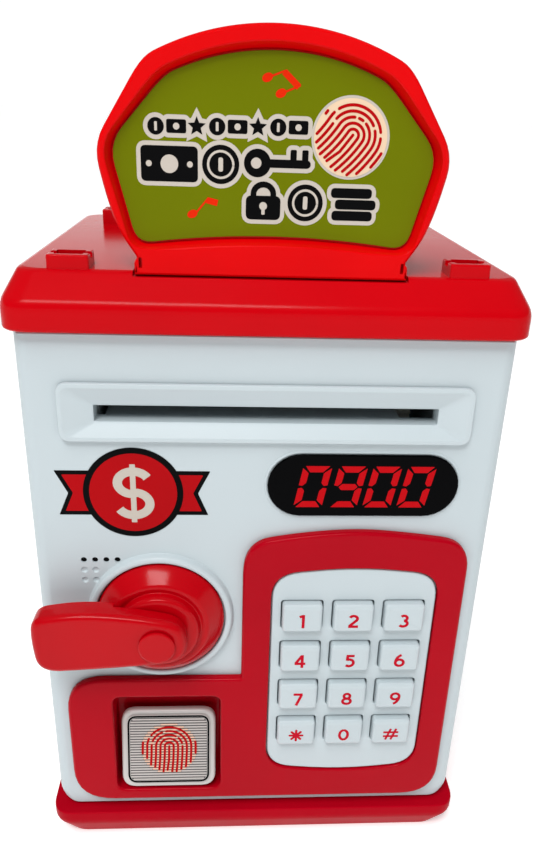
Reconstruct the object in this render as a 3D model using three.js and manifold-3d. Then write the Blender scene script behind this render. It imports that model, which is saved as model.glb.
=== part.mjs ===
// Toy cash machine money box. Millimetres, +Z up, +X to the right of the front, +Y towards the back.
// The origin is the middle of the underside.

import * as THREE from 'three';
import { ConvexGeometry } from 'three/addons/geometries/ConvexGeometry.js';
import { mergeVertices } from 'three/addons/utils/BufferGeometryUtils.js';
import Module from 'manifold-3d';

const wasm = await Module();
wasm.setup();

// ---- Driving dimensions -------------------------------------------------------------------------

const BODY_HALF_WIDTH = 65;
const FRONT_Y = -56;
const BACK_Y = 56;
const WALL = 2.4;
const GAP = 0.3;

const BASE_HEIGHT = 13;
const BODY_TOP = BASE_HEIGHT + 162;
const LID_BAND = 6.8;
const LID_TOP = BODY_TOP + 14.4;
const CAP_HALF_WIDTH = 67.2;
const CAP_HALF_DEPTH = 59.5;

const DOOR_DEPTH = 12;
const DOOR_REAR_Y = FRONT_Y + DOOR_DEPTH;
const DOOR_BOTTOM = BASE_HEIGHT + 0.4;
const DOOR_TOP = BODY_TOP - 0.4;
const DOOR_PLATE_REAR_Y = FRONT_Y + 2.5;
const HINGE_X = 61;
const HINGE_Y = -48;
const BARREL_RADIUS = 4;
const HINGE_PIN_RADIUS = 1.5;

const SLOT_Z = 152.5;
const SLOT_HALF_WIDTH = 45.8;
const SLOT_HEIGHT = 4.6;

const KNOB_X = -29.8;
const KNOB_Z = 89;
const RING_OUTER_RADIUS = 21;
const RING_INNER_RADIUS = 18.9;
const DISC_RADIUS = 18.5;
const SPINDLE_RADIUS = 4;
const LEVER_FRONT_Y = -70.4;

const FASCIA_FRONT_Y = -58.6;
const KEY_WIDTH = 11.8;
const KEY_HEIGHT = 9.4;
const KEY_PITCH_X = 15.1;
const KEY_PITCH_Z = 14.56;
const KEYPAD_X = 26.7;
const KEY_TOP_ROW_Z = 90.5;
const KEY_FRONT_Y = -60.6;

const PAD_TILT = 11.5 * Math.PI / 180;
const PAD_WIDTH = 30;
const PAD_HEIGHT = 27.6;
const PAD_CENTRE = [-28.8, -55.9, 36.7];

const SIGN_FRONT_Y = -53.6;
const SIGN_BACK_Y = -45.6;
const SIGN_FLOOR_Y = -50.1;
const NOTCH_HALF_WIDTH = 34.4;
const NOTCH_Z = LID_TOP - 1.3;

const ROLLER_Y = -31;
const FEED_Z = 147.2;
const PINCH_Z = 156.85;
const GEAR_MODULE = 0.6;
const FEED_TEETH = 24;
const PINION_TEETH = 10;
const GEAR_CLEARANCE = 0.2;
const MOTOR_Z = FEED_Z - GEAR_MODULE * (FEED_TEETH + PINION_TEETH) / 2 - GEAR_CLEARANCE;

const PLUNGER_X = -50;
const PLUNGER_Z = 83;

const ROUND = 20;

// How far a cutting tool reaches past the surface it opens.
const OVER = 1;

// ---- Materials ----------------------------------------------------------------------------------

function finish(color, roughness, metalness = 0) {
  return new THREE.MeshStandardMaterial({ color, roughness, metalness });
}

const white = finish(0xd3d9dd, 0.38);
const red = finish(0xd40b12, 0.3);
const green = finish(0x6b7a05, 0.22);
const black = finish(0x0b0a0b, 0.15);
const steel = finish(0xb9bcc0, 0.3, 1);
const rubber = finish(0x2b2b2d, 0.85);
const board = finish(0x1f6b3a, 0.5);
const nylon = finish(0xe9e6da, 0.45);
const padLabel = finish(0xd9d9d6, 0.35);
const cell = finish(0x2f4f7f, 0.4);

// ---- Solids and placing -------------------------------------------------------------------------

// Turns a closed three.js geometry into a solid that can be joined and cut.
function solid(geometry, placement = new THREE.Matrix4()) {
  const bare = new THREE.BufferGeometry();
  bare.setAttribute('position', geometry.getAttribute('position').clone());
  if (geometry.index) bare.setIndex(geometry.index.clone());
  bare.applyMatrix4(placement);
  const merged = mergeVertices(bare, 1e-4);
  const vertProperties = new Float32Array(merged.getAttribute('position').array);
  const triVerts = new Uint32Array(merged.index.array);
  return new wasm.Manifold(new wasm.Mesh({ numProp: 3, vertProperties, triVerts }));
}

function geometryOf(body) {
  const { vertProperties, triVerts } = body.getMesh();
  const geometry = new THREE.BufferGeometry();
  geometry.setAttribute('position', new THREE.BufferAttribute(vertProperties, 3));
  geometry.setIndex(new THREE.BufferAttribute(triVerts, 1));
  return geometry;
}

function join(...bodies) {
  return bodies.reduce((whole, body) => whole.add(body));
}

function cut(body, ...tools) {
  return tools.reduce((rest, tool) => rest.subtract(tool), body);
}

function box(x0, x1, y0, y1, z0, z1) {
  const placement = new THREE.Matrix4().makeTranslation((x0 + x1) / 2, (y0 + y1) / 2, (z0 + z1) / 2);
  return solid(new THREE.BoxGeometry(x1 - x0, y1 - y0, z1 - z0), placement);
}

function rodGeometry(radius, length, segments) {
  return new THREE.CylinderGeometry(radius, radius, length, segments);
}

function rodX(x0, x1, y, z, radius, segments = ROUND) {
  const placement = new THREE.Matrix4().makeRotationZ(-Math.PI / 2).setPosition((x0 + x1) / 2, y, z);
  return solid(rodGeometry(radius, x1 - x0, segments), placement);
}

function rodY(x, y0, y1, z, radius, segments = ROUND) {
  const placement = new THREE.Matrix4().makeTranslation(x, (y0 + y1) / 2, z);
  return solid(rodGeometry(radius, y1 - y0, segments), placement);
}

function rodZ(x, y, z0, z1, radius, segments = ROUND) {
  const placement = new THREE.Matrix4().makeRotationX(Math.PI / 2).setPosition(x, y, (z0 + z1) / 2);
  return solid(rodGeometry(radius, z1 - z0, segments), placement);
}

// A profile of [radius, y] points turned about an axis along +Y through (x, z).
function turnedY(x, z, profile, segments = 36) {
  const points = profile.map(([radius, y]) => new THREE.Vector2(radius, y));
  if (THREE.ShapeUtils.isClockWise(points)) points.reverse();
  return solid(new THREE.LatheGeometry(points, segments), new THREE.Matrix4().makeTranslation(x, 0, z));
}

// A closed outline through [x, y, corner radius] points, its corners rounded off.
function outline(corners) {
  const shape = new THREE.Shape();
  corners.forEach(([x, y, radius = 0], i) => {
    const here = new THREE.Vector2(x, y);
    const before = corners[(i + corners.length - 1) % corners.length];
    const after = corners[(i + 1) % corners.length];
    const towards = ([px, py]) => {
      const way = new THREE.Vector2(px, py).sub(here);
      return here.clone().add(way.setLength(Math.min(radius, way.length() * 0.49)));
    };
    const start = towards(before);
    const end = towards(after);
    if (i === 0) shape.moveTo(start.x, start.y);
    else shape.lineTo(start.x, start.y);
    if (radius > 0) shape.quadraticCurveTo(x, y, end.x, end.y);
  });
  shape.closePath();
  return shape;
}

function roundedBox(x0, x1, y0, y1, radius) {
  return outline([[x0, y0, radius], [x1, y0, radius], [x1, y1, radius], [x0, y1, radius]]);
}

// Corners on the right half of a symmetrical outline, mirrored to the left.
function mirrored(right) {
  const left = right.map(([x, y, radius]) => [-x, y, radius]).reverse().filter(([x]) => x !== 0);
  return outline([...right, ...left]);
}

function stadium(x0, x1, z0, z1) {
  const shape = new THREE.Shape();
  const radius = (z1 - z0) / 2;
  shape.absarc(x1 - radius, z0 + radius, radius, -Math.PI / 2, Math.PI / 2);
  shape.absarc(x0 + radius, z0 + radius, radius, Math.PI / 2, Math.PI * 1.5);
  shape.closePath();
  return shape;
}

function extruded(shape, depth, curveSegments) {
  return new THREE.ExtrudeGeometry(shape, { depth, curveSegments, bevelEnabled: false });
}

// A shape drawn from above, standing from z0 to z1.
function plan(shape, z0, z1, curveSegments = 5) {
  return solid(extruded(shape, z1 - z0, curveSegments), new THREE.Matrix4().makeTranslation(0, 0, z0));
}

// A shape drawn from the front as (x, z), reaching from y0 back to y1.
function front(shape, y0, y1, curveSegments = 5) {
  const placement = new THREE.Matrix4().makeRotationX(Math.PI / 2).setPosition(0, y1, 0);
  return solid(extruded(shape, y1 - y0, curveSegments), placement);
}

// A shape drawn from the side as (y, z), reaching from x0 to x1.
function side(shape, x0, x1, curveSegments = 5) {
  const turn = new THREE.Matrix4().makeBasis(
    new THREE.Vector3(0, 1, 0),
    new THREE.Vector3(0, 0, 1),
    new THREE.Vector3(1, 0, 0),
  );
  return solid(extruded(shape, x1 - x0, curveSegments), turn.setPosition(x0, 0, 0));
}

// The convex solid between outlines that lie at different heights, or at different depths.
function between(levels, toPoint, curveSegments = 4) {
  const points = levels.flatMap(([shape, level]) =>
    shape.getPoints(curveSegments).map((point) => toPoint(point, level)));
  return solid(new ConvexGeometry(points));
}

const atHeight = (point, z) => new THREE.Vector3(point.x, point.y, z);
const atDepth = (point, y) => new THREE.Vector3(point.x, y, point.y);

const part = new THREE.Group();
const doorGroup = new THREE.Group();
part.add(doorGroup);

function piece(name, body, material, group = part) {
  const mesh = new THREE.Mesh(geometryOf(body), material);
  mesh.name = name;
  group.add(mesh);
  return mesh;
}

// ---- Base, housing and lid ----------------------------------------------------------------------

const SCREW_POSTS = [[-58.5, -37], [58.5, -37], [-58.5, 49], [58.5, 49]];
const SCREW_RADIUS = 1.3;
const SCREW_HEAD_RADIUS = 2.9;
const SCREW_HEAD_Z = [1.4, 3.4];
const SCREW_TIP_Z = 22;
const DRIVE_SLOT = { halfLength: 2, halfWidth: 0.4, depthZ: 2.1 };
const COUNTERBORE_DEPTH = 4;
const FLOOR = 2.6;
const LEDGE_Y = -41;
const POST_RADIUS = 4.3;
const CAP_CORNER = 7;
const TRAY_CHAMFER = { insetX: 4.4, insetY: 4.2, corner: 6, height: 8.6 };
const TRAY_INSIDE = { halfWidth: 61.5, backY: 53.8, corner: 3 };
const PIN_HOLE_RADIUS = HINGE_PIN_RADIUS + GAP;
const PIN_HOLE_FLOOR_Z = 5;

function capPlan(insetX, insetY, radius) {
  const halfX = CAP_HALF_WIDTH - insetX;
  const halfY = CAP_HALF_DEPTH - insetY;
  return roundedBox(-halfX, halfX, -halfY, halfY, radius);
}

function baseTray() {
  const { insetX, insetY, corner, height } = TRAY_CHAMFER;
  const outside = between([
    [capPlan(insetX, insetY, corner), 0],
    [capPlan(0, 0, CAP_CORNER), height],
    [capPlan(0, 0, CAP_CORNER), BASE_HEIGHT],
  ], atHeight);
  const { halfWidth, backY } = TRAY_INSIDE;
  const hollow = roundedBox(-halfWidth, halfWidth, LEDGE_Y, backY, TRAY_INSIDE.corner);
  const inside = plan(hollow, FLOOR, BASE_HEIGHT + OVER);
  const posts = SCREW_POSTS.map(([x, y]) => rodZ(x, y, FLOOR / 2, BASE_HEIGHT - GAP, POST_RADIUS));
  const holes = SCREW_POSTS.flatMap(([x, y]) => [
    rodZ(x, y, -OVER, COUNTERBORE_DEPTH, SCREW_HEAD_RADIUS + 0.5),
    rodZ(x, y, FLOOR / 2, BASE_HEIGHT + OVER, SCREW_RADIUS + GAP),
  ]);
  const pinHole = rodZ(HINGE_X, HINGE_Y, PIN_HOLE_FLOOR_Z, BASE_HEIGHT + OVER, PIN_HOLE_RADIUS);
  return cut(join(cut(outside, inside), ...posts), ...holes, pinHole);
}

function baseScrew(x, y) {
  const [headBottom, headTop] = SCREW_HEAD_Z;
  const { halfLength, halfWidth, depthZ } = DRIVE_SLOT;
  const head = rodZ(x, y, headBottom, headTop, SCREW_HEAD_RADIUS);
  const shank = rodZ(x, y, depthZ, SCREW_TIP_Z, SCREW_RADIUS, 12);
  const slot = box(x - halfLength, x + halfLength, y - halfWidth, y + halfWidth, headBottom - OVER, depthZ);
  return cut(join(head, shank), slot);
}

const HOUSING_FRONT_Y = DOOR_REAR_Y + GAP;
const STRIKE_X = -56.5;
const STRIKE_BACK_Y = -39.8;
const STRIKE_THICK = 0.8;
const LUG_BACK_Y = -40.9;
const LUG_HALF_HEIGHT = 7;
const BOSS_TOP_Z = 26;
const BORE_TOP_Z = 24;

function rearHousing() {
  const bottom = BASE_HEIGHT + GAP;
  const top = BODY_TOP - GAP;
  const half = BODY_HALF_WIDTH;
  const outer = outline([
    [-half, HOUSING_FRONT_Y], [half, HOUSING_FRONT_Y], [half, BACK_Y, CAP_CORNER], [-half, BACK_Y, CAP_CORNER],
  ]);
  const inner = outline([
    [WALL - half, HOUSING_FRONT_Y - 5], [half - WALL, HOUSING_FRONT_Y - 5],
    [half - WALL, BACK_Y - WALL, 5], [WALL - half, BACK_Y - WALL, 5],
  ]);
  const shell = cut(plan(outer, bottom, top), plan(inner, bottom - OVER, top + OVER));
  const bosses = SCREW_POSTS.map(([x, y]) => rodZ(x, y, bottom, BOSS_TOP_Z, POST_RADIUS));
  const bores = SCREW_POSTS.map(([x, y]) => rodZ(x, y, bottom - OVER, BORE_TOP_Z, SCREW_RADIUS + GAP, 12));
  const lug = box(WALL / 2 - half, STRIKE_X, HOUSING_FRONT_Y, LUG_BACK_Y,
    KNOB_Z - LUG_HALF_HEIGHT, KNOB_Z + LUG_HALF_HEIGHT);
  return cut(join(shell, ...bosses, lug), ...bores);
}

const SOCKETS = [[-50.3, -48, 3.4], [50.3, -48, 3.4], [-48.7, 30, 5], [48.7, 30, 5]];
const SOCKET = { halfX: 5.2, halfY: 4.5, wall: 1.6, nickHalfY: 1.4, nickDepth: 1.2 };
const COIN_SLOT = { halfLength: 16, y: 8.5, halfWidth: 2.4 };
const LID_SLOPE = { insetX: 3.9, insetY: 6.5, corner: 6 };
const LID_INSIDE = { insetX: 5.7, insetY: 6.5, topInsetX: 6.8, topInsetY: 9.4, corner: 4 };
const LINTEL = { halfWidth: 62, frontY: -54, height: 2.2 };
const PIN_BOSS = { radius: 4.4, height: 9, boreHeight: 7 };

function socketBlock(x, y, height) {
  const { halfX, halfY, wall, nickHalfY, nickDepth } = SOCKET;
  const top = LID_TOP + height;
  const body = box(x - halfX, x + halfX, y - halfY, y + halfY, LID_TOP - WALL / 2, top);
  const pocket = box(x - halfX + wall, x + halfX - wall, y - halfY + wall, y + halfY - wall,
    LID_TOP, top + OVER);
  const nick = box(x - halfX - OVER, x + halfX + OVER, y - nickHalfY, y + nickHalfY,
    top - nickDepth, top + OVER);
  return cut(body, pocket, nick);
}

function lid() {
  const outside = between([
    [capPlan(0, 0, CAP_CORNER), BODY_TOP],
    [capPlan(0, 0, CAP_CORNER), BODY_TOP + LID_BAND],
    [capPlan(LID_SLOPE.insetX, LID_SLOPE.insetY, LID_SLOPE.corner), LID_TOP],
  ], atHeight);
  const { insetX, insetY, topInsetX, topInsetY, corner } = LID_INSIDE;
  const inside = between([
    [capPlan(insetX, insetY, corner), BODY_TOP - OVER],
    [capPlan(insetX, insetY, corner), BODY_TOP + LID_BAND],
    [capPlan(topInsetX, topInsetY, corner), LID_TOP - WALL],
  ], atHeight);
  const lintel = box(-LINTEL.halfWidth, LINTEL.halfWidth, LINTEL.frontY, LEDGE_Y, BODY_TOP,
    BODY_TOP + LINTEL.height);
  const pinBoss = rodZ(HINGE_X - 1, HINGE_Y, BODY_TOP, BODY_TOP + PIN_BOSS.height, PIN_BOSS.radius);
  const pinHole = rodZ(HINGE_X, HINGE_Y, BODY_TOP - OVER, BODY_TOP + PIN_BOSS.boreHeight, PIN_HOLE_RADIUS);
  const notch = box(-NOTCH_HALF_WIDTH, NOTCH_HALF_WIDTH, -CAP_HALF_DEPTH - OVER, SIGN_BACK_Y + 2 * GAP,
    NOTCH_Z, LID_TOP + OVER);
  const { halfLength, y, halfWidth } = COIN_SLOT;
  const coinSlot = box(-halfLength, halfLength, y - halfWidth, y + halfWidth, LID_TOP - WALL - OVER,
    LID_TOP + OVER);
  const sockets = SOCKETS.map((place) => socketBlock(...place));
  return cut(join(cut(outside, inside), lintel, pinBoss, ...sockets), pinHole, notch, coinSlot);
}

piece('base_tray', baseTray(), red);
piece('rear_housing', rearHousing(), white);
piece('lid', lid(), red);
SCREW_POSTS.forEach(([x, y], i) => piece(`base_screw_${i + 1}`, baseScrew(x, y), steel));
const PIN_SPANS = {
  lower: [PIN_HOLE_FLOOR_Z + GAP, 24],
  upper: [164, BODY_TOP + PIN_BOSS.boreHeight - GAP],
};
Object.entries(PIN_SPANS).forEach(([where, [z0, z1]]) => {
  piece(`hinge_pin_${where}`, rodZ(HINGE_X, HINGE_Y, z0, z1, HINGE_PIN_RADIUS, 16), steel);
});
const strikePlate = box(-62.2, STRIKE_X, STRIKE_BACK_Y - STRIKE_THICK, STRIKE_BACK_Y,
  KNOB_Z - LUG_HALF_HEIGHT + 0.5, KNOB_Z + LUG_HALF_HEIGHT - 0.5);
piece('strike_plate', strikePlate, steel);

// ---- Sign ---------------------------------------------------------------------------------------

const ARCH_RADIUS = 63.9;
const SIGN_TOP = 244.7;
const SIGN_RIM = 5;
const LABEL_THICK = 0.5;
const FOOT_SLIT = { x: 32.4, halfWidth: 0.4, depth: 2, z0: 190.2, z1: 192.8 };
const FOOT_ARCH = { halfWidth: 36, bottom: 190, ends: 194.8, peak: 200.6 };

// Points on the round top edge, from the right corner to the middle.
function archPoints(radius, top, halfChord, steps = 5) {
  return Array.from({ length: steps + 1 }, (_, i) => {
    const x = halfChord * (1 - i / steps);
    return [x, top - radius + Math.sqrt(radius * radius - x * x), i === 0 ? 5 : 3];
  });
}

function signOutline() {
  const foot = [[34, NOTCH_Z + GAP], [34, 191.8, 0.8], [33.2, 192.6, 0.6]];
  const sides = [[37.2, 198.6, 7], [39.8, 206, 6], [42.4, 218.2, 5]];
  return mirrored([...foot, ...sides, ...archPoints(ARCH_RADIUS, SIGN_TOP, 30.6)]);
}

function panelOutline(grow = 0, bottom = 195.8) {
  return mirrored([
    [33.5 + grow * 0.7, bottom, 4], [39.4 + grow, 218.4, 5],
    ...archPoints(ARCH_RADIUS - SIGN_RIM, SIGN_TOP - SIGN_RIM + grow, 26.2 + grow),
  ]);
}

// The label's lower edge rises to a low arch.
function footArch(y0, y1, lift = 0) {
  const rise = new THREE.Shape();
  const { halfWidth, bottom, ends, peak } = FOOT_ARCH;
  rise.moveTo(-halfWidth, bottom);
  rise.lineTo(-halfWidth, ends + lift);
  rise.quadraticCurveTo(0, peak + lift, halfWidth, ends + lift);
  rise.lineTo(halfWidth, bottom);
  rise.closePath();
  return front(rise, y0, y1, 10);
}

function signFrame() {
  const body = front(signOutline(), SIGN_FRONT_Y, SIGN_BACK_Y, 3);
  const recess = between([
    [panelOutline(1.6), SIGN_FRONT_Y - 0.3],
    [panelOutline(), SIGN_FLOOR_Y],
  ], atDepth, 3);
  const backPocket = front(panelOutline(0, 197), SIGN_BACK_Y - 2.5, SIGN_BACK_Y + OVER, 3);
  const { x, halfWidth, depth, z0, z1 } = FOOT_SLIT;
  const slits = [-x, x].map((at) =>
    box(at - halfWidth, at + halfWidth, SIGN_FRONT_Y - OVER, SIGN_FRONT_Y + depth, z0, z1));
  return cut(body, cut(recess, footArch(SIGN_FRONT_Y - OVER, SIGN_FLOOR_Y + OVER)), backPocket, ...slits);
}

function signLabel() {
  const back = SIGN_FLOOR_Y - GAP;
  const face = back - LABEL_THICK;
  return cut(front(panelOutline(-0.5), face, back, 3), footArch(face - OVER, back + OVER, 0.4));
}

piece('sign_frame', signFrame(), red);
piece('sign_label', signLabel(), green);

// ---- Door panel ---------------------------------------------------------------------------------

const BEZEL = { halfWidth: 54.8, z0: 145.2, z1: 161.4 };
const MOUTH = { rim: 1.5, endY: -55.5 };
const LENS = { x0: 0.3, x1: 53.5, z0: 123, z1: 141.7 };
const SPEAKER_HOLES = { x: -51.1, z: 108.1, pitchX: 3.15, pitchZ: 3.35, radius: 0.85 };
const KEYPAD = { x0: 2.7, x1: 51.1, z0: 31.3, z1: 104.3, bulge: 2.6 };
const POCKET = { x0: -45.4, x1: -12.2, z0: 21.9, z1: 60.2 };
const EDGE_ROUND = 4;
const HOLLOW = { x0: -62.6, x1: 56.6, z0: 16, z1: 172, corner: 4 };
const NOTE_HOLE = { halfWidth: 50, z0: 147.3, z1: 158.7 };
const LENS_HOLE = { x0: 3, x1: 50.8, z0: 125.7, z1: 139 };
const KEY_HOLE = { x0: 4.2, x1: 49.6, z0: 35, z1: 100 };
const CUP_HOLE = { x0: -47.4, x1: -10.2, z0: 20, z1: 62.2 };
const DOOR_PIN_BORES = [[0, 26], [162, 200]];
const RING_RISE = 2.1;

function doorBody() {
  const half = BODY_HALF_WIDTH;
  const edge = new THREE.Shape();
  const round = EDGE_ROUND;
  edge.moveTo(-half, DOOR_REAR_Y);
  edge.lineTo(-half, FRONT_Y + round);
  edge.absarc(round - half, FRONT_Y + round, round, Math.PI, Math.PI * 1.5);
  edge.lineTo(half - round, FRONT_Y);
  edge.absarc(half - round, FRONT_Y + round, round, -Math.PI / 2, 0);
  edge.absarc(HINGE_X, HINGE_Y, BARREL_RADIUS, 0, Math.PI / 2);
  edge.closePath();
  const face = outline([
    [-half, DOOR_BOTTOM, 7], [half, DOOR_BOTTOM, 7], [half, DOOR_TOP, 1.5], [-half, DOOR_TOP, 1.5],
  ]);
  const block = plan(edge, DOOR_BOTTOM, DOOR_TOP, 6).intersect(front(face, FRONT_Y - OVER, DOOR_REAR_Y + OVER));
  const { x0, x1, z0, z1, corner } = HOLLOW;
  return cut(block, front(roundedBox(x0, x1, z0, z1, corner), DOOR_PLATE_REAR_Y, DOOR_REAR_Y + OVER));
}

function speakerHoles() {
  const { x, z, pitchX, pitchZ, radius } = SPEAKER_HOLES;
  const hole = (column, row, depth) =>
    rodY(x + column * pitchX, FRONT_Y - OVER, FRONT_Y + depth, z - row * pitchZ, radius, 12);
  const through = [0, 1, 2, 3].map((column) => hole(column, 0, 4));
  const blind = [1, 2].flatMap((row) => [0, 1].map((column) => hole(column, row, 0.6)));
  return [...through, ...blind];
}

function doorPanel() {
  const inner = RING_INNER_RADIUS;
  const outer = RING_OUTER_RADIUS;
  const face = FRONT_Y - RING_RISE;
  const ring = turnedY(KNOB_X, KNOB_Z, [
    [inner, FRONT_Y + 1], [outer + 0.6, FRONT_Y + 1], [outer + 0.6, FRONT_Y], [outer - 0.5, face + 0.5],
    [outer - 1.4, face], [inner + 0.4, face], [inner, face + 0.5], [inner, FRONT_Y + 1],
  ], 48);
  const y0 = FRONT_Y - OVER;
  const y1 = DOOR_PLATE_REAR_Y + OVER;
  const spindleHole = rodY(KNOB_X, face - OVER, y1, KNOB_Z, SPINDLE_RADIUS + 0.4);
  const slotHole = box(-NOTE_HOLE.halfWidth, NOTE_HOLE.halfWidth, y0, y1, NOTE_HOLE.z0, NOTE_HOLE.z1);
  const lensHole = front(stadium(LENS_HOLE.x0, LENS_HOLE.x1, LENS_HOLE.z0, LENS_HOLE.z1), y0, y1);
  const squareHoles = [KEY_HOLE, CUP_HOLE].map(({ x0, x1, z0, z1 }) => box(x0, x1, y0, y1, z0, z1));
  const pinHoles = DOOR_PIN_BORES.map(([z0, z1]) => rodZ(HINGE_X, HINGE_Y, z0, z1, HINGE_PIN_RADIUS + 0.1, 24));
  const tools = [spindleHole, slotHole, lensHole, ...squareHoles, ...pinHoles, ...speakerHoles()];
  return cut(join(doorBody(), ring), ...tools);
}

function slotBezel() {
  const { halfWidth, z0, z1 } = BEZEL;
  const { rim, endY } = MOUTH;
  const [low, high] = [SLOT_Z - SLOT_HEIGHT / 2, SLOT_Z + SLOT_HEIGHT / 2];
  const frontY = FRONT_Y - 1.6;
  const flange = front(roundedBox(-halfWidth, halfWidth, z0, z1, 2.5), frontY, FRONT_Y - GAP);
  const neck = box(-49.6, 49.6, FRONT_Y - 1, -50, 147.7, 158.3);
  const mouth = between([
    [roundedBox(rim - halfWidth, halfWidth - rim, z0 + rim, z1 - rim, 1), frontY - 0.1],
    [roundedBox(-SLOT_HALF_WIDTH - 0.5, SLOT_HALF_WIDTH + 0.5, low - 0.4, high + 0.4, 0.6), endY],
  ], atDepth, 2);
  const slot = box(-SLOT_HALF_WIDTH, SLOT_HALF_WIDTH, -60, -49, low, high);
  return cut(join(flange, neck), mouth, slot);
}

function displayLens() {
  const { x0, x1, z0, z1 } = LENS;
  const flange = front(stadium(x0, x1, z0, z1), FRONT_Y - 1, FRONT_Y - GAP, 12);
  return join(flange, front(stadium(3.4, 50.4, 126.1, 138.6), FRONT_Y - 0.6, -53.2, 8));
}

piece('door_panel', doorPanel(), white, doorGroup);
piece('slot_bezel', slotBezel(), white, doorGroup);
piece('display_lens', displayLens(), black, doorGroup);
piece('display_module', box(3, 51, -52.9, -47.2, 124.5, 140.2), board, doorGroup);

// ---- Fascia, keypad and keys --------------------------------------------------------------------

function fasciaOutline() {
  return outline([
    [-59.1, 17.6, 13], [59.5, 17.6, 12], [59.3, 114.9, 9], [42, 117.4, 16], [26.7, 118.8, 16], [10, 117.4, 16],
    [-6, 114.4, 10], [-6, 67, 0.6], [-59.1, 66.9, 12],
  ]);
}

function keypadOutline(grow) {
  const { x0, x1, z0, z1, bulge } = KEYPAD;
  const middle = (x0 + x1) / 2;
  return outline([
    [x0 - grow, z0 - grow, 8], [middle, z0 - grow - bulge, 30], [x1 + grow, z0 - grow, 8],
    [x1 + grow, z1 + grow, 8], [middle, z1 + grow + bulge, 30], [x0 - grow, z1 + grow, 8],
  ]);
}

const KEYS = ['1', '2', '3', '4', '5', '6', '7', '8', '9', 'star', '0', 'hash'].map((label, i) => ({
  name: `key_${label}`,
  x: KEYPAD_X + (i % 3 - 1) * KEY_PITCH_X,
  z: KEY_TOP_ROW_Z - Math.floor(i / 3) * KEY_PITCH_Z,
}));

function fascia() {
  const plate = front(fasciaOutline(), FASCIA_FRONT_Y, FRONT_Y - GAP);
  const { x0, x1, z0, z1 } = POCKET;
  const cup = box(x0 - 1.6, x1 + 1.6, FRONT_Y - 1, -47.7, z0 - 1.5, z1 + 1.6);
  const pocket = front(roundedBox(x0, x1, z0, z1, 3), -60, -49.2);
  const stemHole = box(-33.2, -24.4, -50, -46, 30.2, 40.6);
  return cut(join(plate, cup), front(keypadOutline(GAP), -60, -50), pocket, stemHole);
}

const KEYPAD_RISE = 2.1;
const KEY_CLEARANCE = 0.45;
const SKIRT = { x0: 4.6, x1: 49.2, y1: -53.2, z0: 35.4, z1: 99.6 };

function keypadPlate() {
  const plate = front(keypadOutline(0), FRONT_Y - KEYPAD_RISE, FRONT_Y - GAP, 6);
  const skirt = box(SKIRT.x0, SKIRT.x1, FRONT_Y - 1, SKIRT.y1, SKIRT.z0, SKIRT.z1);
  const halfX = KEY_WIDTH / 2 + KEY_CLEARANCE;
  const halfZ = KEY_HEIGHT / 2 + KEY_CLEARANCE;
  const holes = KEYS.map(({ x, z }) => front(
    roundedBox(x - halfX, x + halfX, z - halfZ, z + halfZ, 1),
    FRONT_Y - KEYPAD_RISE - OVER, SKIRT.y1 + OVER, 2));
  return cut(join(plate, skirt), ...holes);
}

// One key cap about its own centre, with its front edges bevelled.
function keyCap() {
  const face = (inset) => roundedBox(inset - KEY_WIDTH / 2, KEY_WIDTH / 2 - inset,
    inset - KEY_HEIGHT / 2, KEY_HEIGHT / 2 - inset, 1.2);
  return between([[face(0.8), KEY_FRONT_Y], [face(0), KEY_FRONT_Y + 0.7], [face(0), -52.2]], atDepth, 2);
}

function pieceAt(name, geometry, material, x, z) {
  const mesh = new THREE.Mesh(geometry, material);
  mesh.name = name;
  mesh.position.set(x, 0, z);
  doorGroup.add(mesh);
}

piece('fascia', fascia(), red, doorGroup);
piece('keypad_plate', keypadPlate(), white, doorGroup);
const keyGeometry = geometryOf(keyCap());
KEYS.forEach(({ name, x, z }) => pieceAt(name, keyGeometry, white, x, z));
piece('key_membrane', box(5, 48.6, -50.8, -48.9, 36, 99), rubber, doorGroup);
piece('main_board', box(3.5, 52, -48.5, -47, 27, 108), board, doorGroup);

// ---- Fingerprint pad ----------------------------------------------------------------------------

const padGroup = new THREE.Group();
padGroup.position.set(...PAD_CENTRE);
padGroup.rotation.x = -PAD_TILT;
doorGroup.add(padGroup);

const PAD_THICK = 2.2;
const STEM_HALF = 3.2;
const STEM_END = 7.6;
const LABEL = { halfWidth: 13.2, bottom: -11.9, top: 12.4, corner: 3.4 };
const SLEEVE = { y0: 2.6, y1: 5, outer: 5.4, inner: 4.7 };

function fingerprintButton() {
  const face = roundedBox(-PAD_WIDTH / 2, PAD_WIDTH / 2, -PAD_HEIGHT / 2, PAD_HEIGHT / 2, 4);
  const stem = box(-STEM_HALF, STEM_HALF, PAD_THICK - 0.2, STEM_END, -STEM_HALF, STEM_HALF);
  return join(front(face, 0, PAD_THICK), stem);
}

function fingerprintPlate() {
  const { halfWidth, bottom, top, corner } = LABEL;
  return front(roundedBox(-halfWidth, halfWidth, bottom, top, corner), -0.7, -GAP);
}

function springSleeve() {
  const { y0, y1, outer, inner } = SLEEVE;
  return cut(rodY(0, y0, y1, 0, outer), rodY(0, y0 - OVER, y1 + OVER, 0, inner));
}

piece('fingerprint_button', fingerprintButton(), white, padGroup);
piece('fingerprint_plate', fingerprintPlate(), padLabel, padGroup);
piece('fingerprint_spring', springSleeve(), steel, padGroup);

// ---- Knob, lever and latch ----------------------------------------------------------------------

const CAM_BORE = 3.1;
const SPINDLE_BACK_Y = -41.8;
const TIP_BACK_Y = -36.8;
const LEVER_BACK_Y = -65.1;
const LEVER_END = { backY: -63.2, x: -42.4 };
const CAM_Y = [-39.4, -37];

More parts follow.
